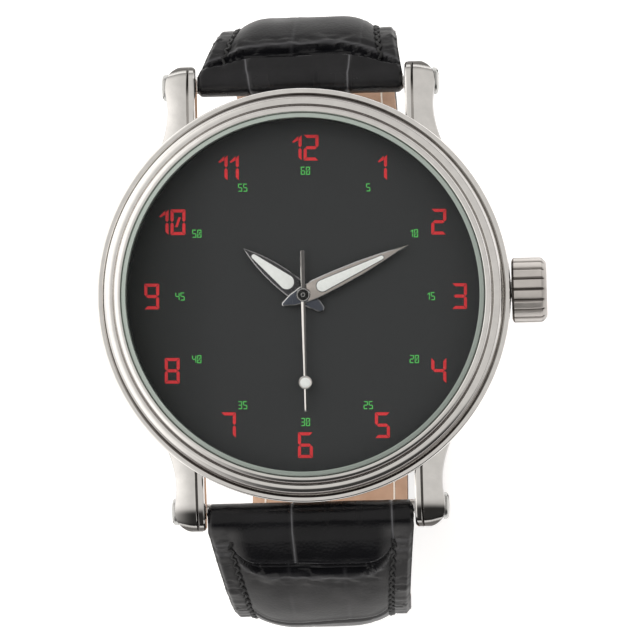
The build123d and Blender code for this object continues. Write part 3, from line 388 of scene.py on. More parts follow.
def metal(name, colour, rough, grain=900.0, stretch=(1.0, 1.0, 1.0), bump=0.04, metallic=1.0, painted_shade_tone=None):
    """Worked metal with cloudy roughness and polishing marks; faces marked 'dark' are darkened with painted
    shade.
    """
    material, tree, shader = new_material(name)
    cloud = noise_value(tree, grain, stretch=stretch)
    marks = noise_value(tree, grain * 4, detail=5.0, stretch=stretch)
    tone = mixed(tree, ranged(tree, cloud, 0.0, 1.0), tuple(part * 0.92 for part in colour), colour)
    # Painted shade on the faces marked dark
    if painted_shade_tone:
        tone = mixed(tree, marked(tree, "dark"), tone, painted_shade_tone)
    set_inputs(tree, shader, {
        "Base Color": tone, "Metallic": metallic,
        "Roughness": ranged(tree, cloud, rough * 0.8, rough * 1.25),
        "Normal": bumped(tree, marks, bump, 0.00002)})
    return material


def plain(name, colour, rough, second=None, grain=700.0, bump=0.15, specular=0.5):
    """A paint, plastic, rubber or thread with a cloudy change of tone and a fine surface."""
    material, tree, shader = new_material(name)
    cloud = noise_value(tree, grain, detail=4.0)
    fine = noise_value(tree, grain * 5, detail=4.0)
    other = second or tuple(part * 0.86 for part in colour)
    set_inputs(tree, shader, {
        "Base Color": mixed(tree, ranged(tree, cloud, 0.0, 1.0), other, colour),
        "Roughness": ranged(tree, cloud, rough * 0.9, rough * 1.1), "Specular IOR Level": specular,
        "Normal": bumped(tree, fine, bump, 0.00003)})
    return material


def dial_look():
    """Charcoal paint, with painted shade that makes it a little darker towards its left edge."""
    material, tree, shader = new_material("dial_paint")
    grain = noise_value(tree, 2500.0, detail=4.0)
    split = add_node(tree, "ShaderNodeSeparateXYZ", {"Vector": place_in_frame(tree)})
    # Painted shade that darkens the dial towards its left edge
    fade = ranged(tree, split.outputs["X"], 0.0, 1.0, -0.017, -0.009)
    set_inputs(tree, shader, {
        "Base Color": mixed(tree, fade, DIAL_PAINTED_SHADE, DIAL_TONE), "Roughness": ranged(tree, grain, 0.42, 0.55),
        "Specular IOR Level": 0.2, "Normal": bumped(tree, grain, 0.05, 0.00001)})
    return material


def glass_look(name, alpha, tint, rough):
    material, tree, shader = new_material(name)
    cloud = noise_value(tree, 300.0)
    set_inputs(tree, shader, {"Base Color": tint, "Alpha": alpha, "IOR": 1.5,
                              "Roughness": ranged(tree, cloud, rough, rough * 1.4)})
    return material


def leather_look(name, colour, sheen_colour, rough, gloss_rough=None):
    """Leather: pores, creases; marks of polish, painted sheen, and pale wear and painted highlights."""
    material, tree, shader = new_material(name)
    cloud = noise_value(tree, 350.0, detail=6.0)
    pores = add_node(tree, "ShaderNodeTexVoronoi", {"Vector": place_in_frame(tree), "Scale": 3200.0})
    tone = ranged(tree, cloud, 0.0, 1.0)
    # Painted sheen: the marked attribute blends the leather towards lighter tones
    painted_sheen = mixed(tree, marked(tree, "painted_sheen"), mixed(tree, tone, colour, sheen_colour),
                  mixed(tree, tone, PAINTED_SHEEN_DARK, PAINTED_SHEEN_LIGHT))
    matt = ranged(tree, cloud, rough * 0.88, rough * 1.1)
    if gloss_rough:
        matt = add_node(tree, "ShaderNodeMix", {"Factor": marked(tree, "gloss"), "A": matt,
                                                "B": gloss_rough}).outputs["Result"]
    height = maths(tree, "ADD", pores.outputs["Distance"], cloud)
    set_inputs(tree, shader, {
        "Base Color": mixed(tree, marked(tree, "line"), painted_sheen, WEAR_AND_HIGHLIGHT_TONE), "Roughness": matt,
        "Specular IOR Level": 0.26, "Normal": bumped(tree, height, 0.22, 0.00006)})
    return material


polished = metal("case_steel", STEEL_TONE, 0.07)
# The lugs' dark colour is painted shade on their tips, engraved lines and outer sides
lug_steel = metal("lug_steel", STEEL_TONE, 0.07, painted_shade_tone=(0.07, 0.065, 0.06))
# The bezel's dark colour is painted shade in its grooves
bezel_steel = metal("bezel_steel", STEEL_TONE, 0.06, painted_shade_tone=(0.10, 0.085, 0.08))
inner_steel = metal("inner_steel", (0.62, 0.61, 0.60), 0.28)
back_steel = metal("back_steel", (0.66, 0.65, 0.64), 0.22, grain=500.0, stretch=(1.0, 6.0, 1.0))
# The crown's dark colour is painted shade in its flutes, next to the case and round its outer face
crown_steel = metal("crown_steel", (0.56, 0.53, 0.505), 0.36, metallic=0.7, painted_shade_tone=(0.07, 0.06, 0.055))
screw_steel = metal("screw_steel", (0.46, 0.46, 0.45), 0.24)
hour_frame = metal("hour_frame_steel", (0.07, 0.07, 0.075), 0.22)
minute_frame = metal("minute_frame_steel", (0.52, 0.48, 0.45), 0.2)
hand_edge = metal("hand_edge_steel", (0.55, 0.55, 0.55), 0.14)
hour_edge = metal("hour_edge_steel", (0.30, 0.30, 0.305), 0.16)
rim_steel = metal("hand_rim_steel", (0.22, 0.22, 0.225), 0.16)
# Dark bluish painted reflection on the hands' tails
tail_painted_reflection_steel = metal("hand_tail_steel", (0.09, 0.10, 0.125), 0.14)
# The second hand's dark colour is painted shade on its right-facing side
second_steel = metal("second_hand_steel", (0.74, 0.72, 0.70), 0.1, painted_shade_tone=(0.06, 0.058, 0.058))
hub_dark = metal("hub_dark_steel", (0.03, 0.03, 0.03), 0.25)
brass = metal("wheel_brass", (0.80, 0.58, 0.25), 0.24)
plate_brass = metal("plate_brass", (0.72, 0.60, 0.38), 0.32, stretch=(8.0, 1.0, 1.0))
copper = metal("coil_copper", (0.82, 0.36, 0.17), 0.3, stretch=(1.0, 12.0, 1.0), bump=0.4)
lume = plain("lume_paste", (0.75, 0.77, 0.76), 0.8, second=(0.68, 0.71, 0.69), grain=2500.0, bump=0.3)
red_paint = plain("red_print", (0.66, 0.040, 0.048), 0.5, grain=3000.0, specular=0.2)
green_paint = plain("green_print", (0.11, 0.60, 0.13), 0.5, grain=3000.0, specular=0.2)
board_green = plain("circuit_board", (0.02, 0.13, 0.05), 0.4)
holder_white = plain("holder_plastic", (0.72, 0.71, 0.66), 0.45)
rubber = plain("seal_rubber", (0.018, 0.018, 0.018), 0.7)
nylon = plain("seal_nylon", (0.62, 0.63, 0.58), 0.4)
ring_paint = plain("dial_ring_paint", (0.035, 0.04, 0.038), 0.45)
black_leather = leather_look("black_leather", (0.0034, 0.0034, 0.0042), (0.0062, 0.0062, 0.0074), 0.42, 0.2)
tan_leather = leather_look("tan_leather", (0.43, 0.275, 0.19), (0.53, 0.355, 0.255), 0.75)
black_thread = plain("black_thread", (0.006, 0.006, 0.0065), 0.55, grain=4000.0, bump=0.5)
pale_thread = plain("pale_thread", (0.86, 0.80, 0.72), 0.7, grain=4000.0, bump=0.4)
glass_face = glass_look("crystal_glass", 0.04, (0.02, 0.025, 0.023), 0.03)
glass_edge = glass_look("crystal_edge_glass", 0.72, (0.40, 0.46, 0.42), 0.12)


# Case middle
def case_profile():
    """Half section: bore, seat of the bezel, raised crest, band and the wall drawn in below it."""
    return ([(CASE_BORE, CASE_BOTTOM), (CASE_BORE, SEAT_Z), (BEZEL_RADIUS - 0.01, SEAT_Z),
             (BEZEL_RADIUS + 0.05, SEAT_Z - 0.13), (BEZEL_RADIUS + 0.12, SEAT_Z + 0.07)]
            + arc((CASE_RADIUS - 0.45, CREST_Z), 0.3, 120, 90, 4)
            + arc((CASE_RADIUS - 0.25, CREST_Z + 0.05), 0.25, 90, 0) + [(CASE_RADIUS, BAND_FOOT)]
            + arc((CASE_RADIUS - 0.2, BAND_FOOT), 0.2, 0, -90, 5)
            + [(CASE_RADIUS - 1.05, BAND_FOOT - 0.2), (CASE_RADIUS - 1.12, BAND_FOOT - 0.4),
               (CASE_RADIUS - 1.75, CASE_BOTTOM)])


case_band = build("case_band", lathe(case_profile()), polished)
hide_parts("case_middle")


# Lugs
def lug_corner(y, radius):
    """How far a corner of a radius draws in at y near the lug's end."""
    past = max(0.0, y - (LUG_REACH - radius))
    return radius - math.sqrt(max(radius * radius - past * past, 0.0))


def lug_outer_x(y):
    flare = share_between(LUG_WAIST - y, 0.0, LUG_WAIST - LUG_FOOT)
    return LUG_OUTER + LUG_FLARE * flare * flare + LUG_SWELL * bell(y - BAR_Y, 1.5) - lug_corner(y, 1.7)


def lug_top_z(y):
    """Level along the case, then bending down and falling round to the tip."""
    if y <= LUG_BEND_Y:
        return LUG_TOP
    reach = LUG_CROWN_Y - LUG_BEND_Y
    if y <= LUG_CROWN_Y:
        return LUG_TOP - LUG_CROWN_DROP * ((y - LUG_BEND_Y) / reach) ** 2
    past, whole = y - LUG_CROWN_Y, LUG_REACH - LUG_CROWN_Y
    slope = 2 * LUG_CROWN_DROP / reach
    fall = LUG_TOP - LUG_CROWN_DROP - slope * whole - LUG_TIP_Z
    return (LUG_TOP - LUG_CROWN_DROP - slope * past
            - fall * (1 - math.sqrt(max(1 - (past / whole) ** 2, 0.0))))


def lug_bottom_z(y):
    """Sloping down to below the bar, then round up to the tip."""
    low = CASE_BOTTOM - BELLY_DROP
    if y <= BELLY_START:
        return CASE_BOTTOM
    if y <= BELLY_LOW:
        return CASE_BOTTOM - BELLY_DROP * (y - BELLY_START) / (BELLY_LOW - BELLY_START)
    if y <= BELLY_END:
        return low + BELLY_RISE * ((y - BELLY_LOW) / (BELLY_END - BELLY_LOW)) ** 2
    past = (y - BELLY_END) / (LUG_REACH - BELLY_END)
    return low + BELLY_RISE + NOSE_RISE * (1 - math.sqrt(max(1 - past * past, 0.0)))


def lug_section(y):
    """One closed loop across a lug: inner bevel, narrow facet, groove, domed wide facet."""
    inner, outer = LUG_INNER + lug_corner(y, 0.5), lug_outer_x(y)
    top = lug_top_z(y)
    bottom = min(lug_bottom_z(y), top - 0.12)
    fade = min(1.0, max(top - bottom, 0.12) / 2.0)
    dome = LUG_LINE + 0.14
    across_top = [(inner, -0.32), (inner + 0.07, -0.14), (inner + 0.2, -0.03), (LUG_LINE - 0.38, 0.0),
                  (LUG_LINE - 0.14, -0.01), (LUG_LINE - 0.05, -0.09), (LUG_LINE, -0.15),
                  (LUG_LINE + 0.05, -0.09), (dome, 0.0)]
    across_top += [(dome + (outer - dome) * share, -0.34 * share ** 2.2 * fade)
                   for share in (0.12, 0.25, 0.4, 0.55, 0.7, 0.82, 0.9, 0.95)]
    across_top += [(outer - 0.05, -0.5 * fade), (outer, -0.72 * fade)]
    return ([(min(max(x, inner), outer), top + rise * fade) for x, rise in across_top]
            + [(outer, bottom + 0.3 * fade), (outer - 0.12, bottom + 0.08 * fade), (outer - 0.32, bottom),
               (inner + 0.3, bottom), (inner + 0.1, bottom + 0.08 * fade), (inner, bottom + 0.28 * fade)])


def lug(side, end):
    ys = [LUG_ROOT] + [y for span in LUG_ROWS for y in steps(*span)[1:]]
    return skin([[(side * x, end * y, z) for x, z in lug_section(y)] for y in ys])


def lug_painted_shade(place, normal):
    """Painted shade and dark reflection: on the steep end of a lug, in its engraved line and thinly along its
    outer side.
    """
    away = abs(place.y)
    steep_tip = smoothstep(away, 23.1, 23.7) * smoothstep(1.0 - normal.z, 0.25, 0.42)
    tones = [steep_tip if normal.z > -0.2 else 0.0]
    if abs(abs(place.x) - LUG_LINE) < 0.1 and normal.z > 0.2:
        tones.append(0.7 if place.y < 0 else 0.2 + 0.7 * smoothstep(away, 21.0, 23.2))
    if abs(normal.x) > 0.8 and abs(place.x) > 13.0:
        tones.append(0.55)
    if place.y < 0 and normal.z > 0.2:
        tones.append(0.42 * smoothstep(away, 21.8, 22.8))
    return max(tones)


def screw_head(side, end):
    """A domed lug screw on the lug's outer face, turned about an axis along X."""
    face = [(0.0, 0.0), (0.0, 1.45), (0.3, 1.45), (0.45, 1.38), (0.58, 1.18), (0.64, 0.8), (0.66, 0.0)]
    return skin([[(side * (LUG_OUTER - 0.02 + x), end * BAR_Y + r * math.cos(turn),
                   BAR_Z + r * math.sin(turn)) for x, r in face]
                 for turn in steps(0.0, math.tau, SMALL_SIDES)[:-1]], wrap_rows=True)


def screw_slot(side, end):
    """The cutter for the driver slot across a screw head, turned about the screw's axis."""
    centre = Vector((side * (LUG_OUTER + 0.68), end * BAR_Y, BAR_Z))
    half_x, half_y, half_z = SCREW_SLOT
    points, faces = prism(rectangle(0.0, 0.0, half_x, half_y), -half_z, half_z)
    turn = Matrix.Rotation(math.radians(SCREW_SLOT_TURN * side), 4, "X")
    return [centre + turn @ Vector(point) for point in points], faces


for side, end, hour in LUG_PLACES:
    piece = build("lug_" + hour, lug(side, end), lug_steel, sharp=24.0)
    mark_painted_shade(piece, lug_painted_shade)
for side, end, hour in LUG_PLACES:
    head = build("lug_screw_" + hour, screw_head(side, end), screw_steel)
    subtract(head, screw_slot(side, end), sharp=30.0)
    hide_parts("lug_screws")


# Bezel and crystal
def bezel_profile():
    """Half section: a small bead round the crystal, then a broad one, with a groove between."""
    inside = BEZEL_RADIUS - 1.0
    return ([(BORE_RADIUS, BEZEL_STEP), (BORE_RADIUS, 8.95)]
            + arc((BORE_RADIUS + 0.18, 8.95), 0.18, 180, 90, 5)
            + arc(SMALL_BEAD, SMALL_BEAD_RADIUS, 90, 0, 16)
            + [(20.05, 8.3), (20.12, 8.26)] + arc((20.28, 8.32), 0.15, 180, 90, 5)
            + arc((BEZEL_RADIUS - BROAD_BEAD_RADIUS, BROAD_BEAD_Z), BROAD_BEAD_RADIUS, 90, 0, 18)
            + [(BEZEL_RADIUS, BEZEL_FOOT), (inside, BEZEL_FOOT), (inside, BEZEL_STEP)])


def groove_painted_shade(place, normal):
    """Painted shade where a bead falls steeply into its groove, except round the bright upper left."""
    steep = smoothstep(math.degrees(math.acos(max(-1.0, min(1.0, normal.z)))), 40, 54)
    outward = (normal.x * place.x + normal.y * place.y) > 0
    clock = math.degrees(math.atan2(place.x, place.y)) % 360
    return steep * between(GROOVE_PAINTED_SHADE, clock) if outward and math.hypot(place.x, place.y) > 19.6 else 0.0


bezel = build("bezel_beads", lathe(bezel_profile()), bezel_steel)
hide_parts("bezel")
mark_painted_shade(bezel, groove_painted_shade)
face_profile = [(0.0, CRYSTAL_FOOT), (0.0, CRYSTAL_TOP), (CRYSTAL_FLAT - 0.05, CRYSTAL_TOP),
                (CRYSTAL_FLAT - 0.05, CRYSTAL_FOOT)]
edge_profile = [(CRYSTAL_FLAT, CRYSTAL_FOOT), (CRYSTAL_FLAT, CRYSTAL_TOP - 0.01),
                (CRYSTAL_FLAT + 0.04, CRYSTAL_TOP - 0.03), (CRYSTAL_RADIUS - 0.04, CRYSTAL_TOP - 0.43),
                (CRYSTAL_RADIUS, CRYSTAL_TOP - 0.49), (CRYSTAL_RADIUS, CRYSTAL_FOOT)]
crystal = build("crystal_face", lathe(face_profile, FACE_SIDES), glass_face)
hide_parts("crystal")
build("crystal_edge", lathe(edge_profile), glass_edge)


# Dial numbers
def segment_outline(kind, width, height, stroke):
    """A bar of a segment digit: square at the digit's corners, pointed at its middle."""
    half, middle, gap = stroke / 2, height / 2, stroke * 0.12
    left, right = gap + stroke, width - gap - stroke
    if kind in "ad":
        bar = [(gap, 0.0), (width - gap, 0.0), (right, stroke), (left, stroke)]
    elif kind == "g":
        bar = [(gap + half, middle), (left, middle - half), (right, middle - half),
               (width - gap - half, middle), (right, middle + half), (left, middle + half)]
    elif kind == "s":
        bar = [(width * 0.31, height * 0.31), (width * 0.31 + stroke * 0.8, height * 0.31),
               (width * 0.69, height * 0.69), (width * 0.69 - stroke * 0.8, height * 0.69)]
    elif kind == "i":
        bar = [(0.0, height * 0.73), (width * 0.12, height * 0.69), (right, height * 0.79),
               (right, height * 0.95)]
    else:
        bar = [(0.0, height - gap), (stroke, height - left), (stroke, middle + gap + half),
               (half, middle + gap), (0.0, middle + gap + half)]
    if kind in "aec":
        bar = [(x, height - y) for x, y in reversed(bar)]
    if kind in "bc":
        bar = [(width - x, y) for x, y in reversed(bar)]
    return bar


def number_parts(text, place, height, width, stroke, gap):
    """The raised segments of a number, upright about its own centre."""
    widths = [width * ONE_WIDTH if letter == "1" else width for letter in text]
    cursor = -(sum(widths) + gap * (len(text) - 1)) / 2
    parts = []
    for letter, letter_width in zip(text, widths):
        for kind in SEGMENTS[letter]:
            outline = [tuple(place + ART_RIGHT * (cursor + x) + ART_UP * (y - height / 2))
                       for x, y in segment_outline(kind, letter_width, height, stroke)]
            parts.append(prism(outline, DIAL_TOP, DIAL_TOP + PRINT_RISE))
        cursor += letter_width + gap
    return parts


def around(clock, span_x, span_y):
    turn = math.radians(clock)
    return ART_CENTRE + ART_RIGHT * span_x * math.sin(turn) + ART_UP * span_y * math.cos(turn)


for name, worth, spans, sizes, look in (("hour_numbers", 1, HOUR_SPANS, HOUR_SIZES, red_paint),
                                        ("minute_numbers", 5, MINUTE_SPANS, MINUTE_SIZES, green_paint)):
    digits = []
    for hour in range(1, 13):
        digits += number_parts(str(worth * hour), around(30 * hour, *spans), *sizes)
    build(name, joined(digits), look)


# Hour and minute hands: stations are (distance along, half width)
def hand_point(clock, along, aside):
    turn = math.radians(clock)
    return (math.sin(turn) * along + math.cos(turn) * aside, math.cos(turn) * along - math.sin(turn) * aside)


def hand_outline(clock, stations):
    """A hand's plan outline, anticlockwise."""
    right = [hand_point(clock, along, half) for along, half in stations]
    left = [hand_point(clock, along, -half) for along, half in reversed(stations) if half > 0]
    return right + left


def clipped(stations, low, high):
    """The stations between two distances, with widths interpolated at the cuts."""
    inside = [(along, half) for along, half in stations if low < along < high]
    if low > stations[0][0]:
        inside.insert(0, (low, between(stations, low)))
    if high < stations[-1][0]:
        inside.append((high, between(stations, high)))
    return inside


def tail_end(length, half):
    return [(-length, 0.0), (-length + 0.05, half * 0.42), (-length + 0.18, half * 0.76),
            (-length + 0.42, half)]


def lume_stations(start, end, half, tip_half):
    """A filling with a round foot that narrows to a small round tip."""
    foot = [(start + half - x, y) for x, y in arc((0.0, 0.0), half, 0, 90, 7)]
    tip = [(end - tip_half + x, y) for x, y in arc((0.0, 0.0), tip_half, 90, 0, 5)]
    return foot + tip


def broad_hand(name, clock, stations, filling, low, high, edge_look, blade_look):
    """A leaf hand: bevelled edge, inlaid faces of blade and tail (the tail dark with painted reflection),
    rimmed luminous filling.
    """
    body, split = name + "_set", 0.25
    edge = build(name + "_edge", prism(hand_outline(clock, stations), low, high - 0.02, 0.1, 0.07), edge_look,
                 body)
    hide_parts(name)
    for part, look, start, end in (("_blade", blade_look, split, stations[-1][0] - 0.12),
                                   ("_tail", tail_painted_reflection_steel, stations[0][0] + 0.1, split)):
        plate = [(along, max(half - 0.13, 0.02)) for along, half in clipped(stations, start, end)]
        build(name + part, prism(hand_outline(clock, plate), high - 0.06, high, 0.03, 0.015), look,
              body)
    rim = hand_outline(clock, filling)
    build(name + "_rim", tube([(x, y, high) for x, y in rim], 0.045, 8, closed=True), rim_steel,
          body)
    paste = build(name + "_filling", prism(rim, high - 0.03, high + 0.035, 0.08, 0.03), lume, body,
                  sharp=THREAD_SHARP)
    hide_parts(name + "_lume")


broad_hand("hour_hand", HOUR_CLOCK,
           tail_end(2.7, 0.46) + [(-1.4, 0.72), (0.0, 1.0), (1.1, 1.13), (1.9, 1.15), (3.2, 1.08),
                                  (4.6, 0.93), (6.2, 0.62), (7.4, 0.26), (8.1, 0.0)],
           lume_stations(1.45, 6.95, 0.80, 0.27), HOUR_LOW, HOUR_HIGH, hour_edge, hour_frame)
broad_hand("minute_hand", MINUTE_CLOCK,
           tail_end(2.5, 0.33) + [(-1.3, 0.66), (0.0, 0.93), (1.1, 1.02), (1.9, 1.03), (4.0, 0.96),
                                  (6.6, 0.80), (9.2, 0.50), (11.2, 0.2), (12.45, 0.0)],
           lume_stations(1.6, 9.45, 0.64, 0.24), MINUTE_LOW, MINUTE_HIGH, hand_edge, minute_frame)


# Second hand
def roof_hand(stations, ridge):
    """A slim length with a ridge along it, set aside from its middle by a share of the half width."""
    rows = []
    for along, half in stations:
        ends = [(-half, SECOND_LOW), (-half, SECOND_LOW + 0.04), (half * (ridge - 0.12), SECOND_HIGH),
                (half * (ridge + 0.12), SECOND_HIGH), (half, SECOND_LOW + 0.04), (half, SECOND_LOW)]
        rows.append([(*hand_point(SECOND_CLOCK, along, aside), z) for aside, z in ends])
    return skin(rows)


def second_piece(part, profile, look, sides=SMALL_SIDES, centre=(0.0, 0.0)):
    return build("second_hand_" + part, lathe(profile, sides, centre), look, "second_hand_set")


needle = build("second_hand_needle", joined([
    roof_hand([(-4.7, 0.17), (-4.6, 0.25), (-2.0, 0.24), (-0.5, 0.25)], 0.55),
    roof_hand([(0.5, 0.23), (3.0, 0.21), (8.6, 0.15)], 0.0),
    roof_hand([(9.95, 0.14), (11.6, 0.13), (12.35, 0.12), (12.4, 0.08)], -0.2)]),
    second_steel, "second_hand_set", sharp=20.0)
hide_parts("second_hand")
# Painted shade on the needle's faces that turn to the right
mark_painted_shade(needle, lambda place, normal: 0.85 if normal.x > 0.1 else 0.0)
dot_centre = hand_point(SECOND_CLOCK, SECOND_DOT, 0.0)
second_piece("ring", [(0.5, SECOND_LOW), (0.5, SECOND_HIGH - 0.02), (0.58, SECOND_HIGH + 0.02),
                      (0.64, SECOND_HIGH + 0.02), (0.72, SECOND_HIGH - 0.05), (0.72, SECOND_LOW)],
             second_steel, centre=dot_centre)
dot = second_piece("filling", [(0.0, SECOND_LOW), (0.0, SECOND_HIGH + 0.05), (0.3, SECOND_HIGH + 0.04),
                               (0.5, SECOND_HIGH + 0.01), (0.56, SECOND_HIGH - 0.03), (0.56, SECOND_LOW)],
                   lume, centre=dot_centre)
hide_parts("second_hand_lume")
second_piece("hub_rim", [(HUB_RADIUS - 0.01, 7.2), (HUB_RADIUS - 0.01, HUB_TOP), (0.6, HUB_TOP + 0.06),
                         (0.67, HUB_TOP + 0.06), (0.74, HUB_TOP - 0.02), (0.74, 7.2)], hand_edge)
second_piece("hub", [(0.0, 7.3), (0.0, PIN_TOP), (0.145, PIN_TOP), (0.155, HUB_TOP + 0.02),
                     (0.3, HUB_TOP + 0.03), (HUB_RADIUS - 0.02, HUB_TOP), (HUB_RADIUS, 7.3)], hub_dark)
second_piece("pin", [(0.13, 7.5), (0.13, PIN_TOP - 0.12), (0.16, PIN_TOP - 0.06), (0.22, PIN_TOP - 0.06),
                     (0.26, PIN_TOP - 0.14), (0.26, 7.5)], hand_edge, sides=PIN_SIDES)


# Crown
def crown_stations():
    """(x, radius, share of the flutes' depth) from the case outward and back through the bore."""
    inner = [(0.0, 0.75, 0.0), (0.0, 0.42, 0.35), (0.1, 0.16, 0.8), (0.24, 0.0, 1.0)]
    outer = [(0.72, 0.0, 1.0), (0.56, 0.03, 0.9), (0.42, 0.12, 0.5), (0.3, 0.25, 0.12), (0.12, 0.42, 0.0),
             (0.02, 0.62, 0.0), (0.0, 0.85, 0.0), (0.05, 1.1, 0.0)]
    bore = [(CROWN_OUT - 0.05, 1.2), (CROWN_OUT - 0.02, 0.0), (CROWN_IN + BORE_DEPTH, 0.0),
            (CROWN_IN + BORE_DEPTH, CROWN_BORE), (CROWN_IN, CROWN_BORE)]
    return ([(CROWN_IN + away, CROWN_RADIUS - drop, share) for away, drop, share in inner]
            + [(CROWN_OUT - away, CROWN_RADIUS - drop, share) for away, drop, share in outer]
            + [(x, r, 0.0) for x, r in bore])


def crown_surface():
    rows = []
    for turn in steps(0.0, math.tau, CROWN_FLUTES * FLUTE_SAMPLES)[:-1]:
        place = turn * CROWN_FLUTES / math.tau % 1.0
        cut = FLUTE_DEPTH * smoothstep(1 - abs(place * 2 - 1), 0.66, 0.92)
        rows.append([(x, (r - cut * share) * math.cos(turn), CROWN_Z + (r - cut * share) * math.sin(turn))
                     for x, r, share in crown_stations()])
    return skin(rows, wrap_rows=True)


def crown_painted_shade(place, normal):
    """Painted shade: dark in the flutes and next to the case, a little darker round the outer rim."""
    radius = math.hypot(place.y, place.z - CROWN_Z)
    if normal.x > 0.3 and radius > 2.4:
        return 0.25
    if place.x < CROWN_IN + 0.26:
        return 1.0
    return smoothstep(CROWN_RADIUS - radius, 0.1, 0.24) if place.x < CROWN_OUT - 0.3 else 0.0


crown = build("crown_knob", crown_surface(), crown_steel, "crown_set", sharp=28.0)
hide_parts("crown")
mark_painted_shade(crown, crown_painted_shade)

# Strap: a station is a place on the wrist-side line, its normal, its length along and its pad's height
Station = namedtuple("Station", "y z normal_y normal_z along pad")


class StrapHalf:
    """One half of the strap: its wrist-side line as stations, and the sizes of its forms by name.

    turn, lean and flat_y give the line: the radius round the bar, the side's slope in degrees and
    where the flat below the wrist begins."""

    def __init__(self, name, side, turn, lean, flat_y, **forms):
        self.name, self.side, self.turn = name, side, turn
        vars(self).update(forms)
        lean_sin, lean_cos = math.sin(math.radians(lean)), math.cos(math.radians(lean))
        corner_y, corner_z = BAR_Y + turn, BAR_Z - STRAP_THICK / 2 - turn
        ease, hollow = (1 - lean_sin) / lean_cos, 1 - lean_cos
        side_radius = ((corner_z - LOOP_BOTTOM - ease * (corner_y - flat_y))
                       / (lean_sin - ease * hollow))
        bend_radius = (corner_y - flat_y - side_radius * hollow) / lean_cos
        self.bend = ((flat_y, LOOP_BOTTOM + bend_radius), bend_radius)
        self.arcs = (((BAR_Y, corner_z), turn, 90, -90),
                     ((corner_y - side_radius, corner_z), side_radius, 0, -lean),
                     (*self.bend, -lean, lean - 90))
        self.stations = []
        self.length = 0.0
        self.add_arcs()
        self.add_run((flat_y, LOOP_BOTTOM), (self.flat_end, LOOP_BOTTOM))

    def add(self, y, z, normal_y, normal_z, pad, step):
        self.length += step
        self.stations.append(Station(self.side * y, z, self.side * normal_y, normal_z, self.length, pad))

    def corner_pad(self, turn):
        """Height of the padding round the corner at the bar, its top a rounder arc than its foot."""
        lift, drop = self.turn + STRAP_THICK + self.rise, self.rise - 0.2
        return -drop * math.sin(turn) + math.sqrt(lift * lift - (drop * math.cos(turn)) ** 2) - self.turn

    def add_arcs(self):
        """Stations round the three bends, close together where the photograph shows them."""
        for number, (centre, radius, start, size) in enumerate(self.arcs):
            spacing = BEND_SPACING if number else CORNER_SPACING
            surface = math.radians(abs(size)) * (radius + STRAP_THICK)
            count = max(2, round(surface / spacing))
            for index in range(1 if number else 0, count + 1):
                turn, share = math.radians(start + size * index / count), index / count
                first, last = self.corner_pad(0.0), SIDE_PAD
                pad = (self.corner_pad(turn), first + (last - first) * smoothstep(share, 0, 1),
                       SIDE_PAD + (END_PAD - SIDE_PAD) * smoothstep(share, 0, 0.5))[number]
                self.add(centre[0] + radius * math.cos(turn), centre[1] + radius * math.sin(turn),
                         math.cos(turn), math.sin(turn), pad, surface / count if index else 0.0)

    def add_run(self, start, end):
        """Stations along a straight stretch under the wrist."""
        length = math.dist(start, end)
        count = max(1, round(length / RUN_SPACING))
        for y, z in zip(steps(start[0], end[0], count)[1:], steps(start[1], end[1], count)[1:]):
            self.add(y, z, 0.0, -1.0, END_PAD, length / count)

    def taper_share(self, station):
        """How far a station is on the way from the lugs to the strap's outermost bend."""
        if station.z < self.arcs[0][0][1]:
            return 1.0
        return share_between(abs(station.y) + abs(station.normal_y) * STRAP_THICK, *self.taper)

    def skew(self, station):
        """How far the strap leans aside below the lugs, back in line before the buckle."""
        return self.lean_aside * self.taper_share(station) * (1 - smoothstep(-station.z, *STRAIGHTENING))

    def half_width(self, station):
        half = WRIST_HALF + (self.bend_half - WRIST_HALF) * self.taper_share(station)
        half += (END_HALF - self.bend_half) * smoothstep(-station.z, *NARROWING)
        past = station.along - (self.length - TIP_LENGTH)
        if self.side < 0 and past > 0:
            half = max(math.sqrt(max(TIP_LENGTH ** 2 - past ** 2, 0.0)), 0.6)
        return half


# Creases lie across at their places along the strap, the first one where the polished section ends;
# pull, span and curl draw their ends back to the bar. Each section has grooves at places across it.
# The last two forms give how much painted sheen lightens each section and the side strips
upper = StrapHalf(
    "strap_12", 1, turn=3.5, lean=13, flat_y=12.0, flat_end=PIVOT_Y, rise=1.4, pillow=3.6,
    creases=(3.2, 11.5, 18.6, 26.0, 33.2, 40.4, 47.4, 54.0, 60.5),
    grooves=((-5.3, 5.1), (-1.2, 6.1), (-6.0, 2.6), (-3.0, 4.4), (-5.2, 1.4), (0.4, 5.4), (-4.4, 3.0),
             (-1.6, 4.6), (-4.0, 2.0), (0.0, 4.0)),
    slants=(-0.2, 0.0), pull=1.5, span=7.0, curl=2.0, crease_margin=0.0, fold_width=0.95,
    roll_shift=0.5, roll_end=70, first_row=1.6, first_stitch=2.6, last_stitch=3.0,
    taper=(23.4, 29.3), bend_half=9.45, lean_aside=0.7, painted_sheen_levels=(0.12, 0.1), strip_painted_sheen=0.12)
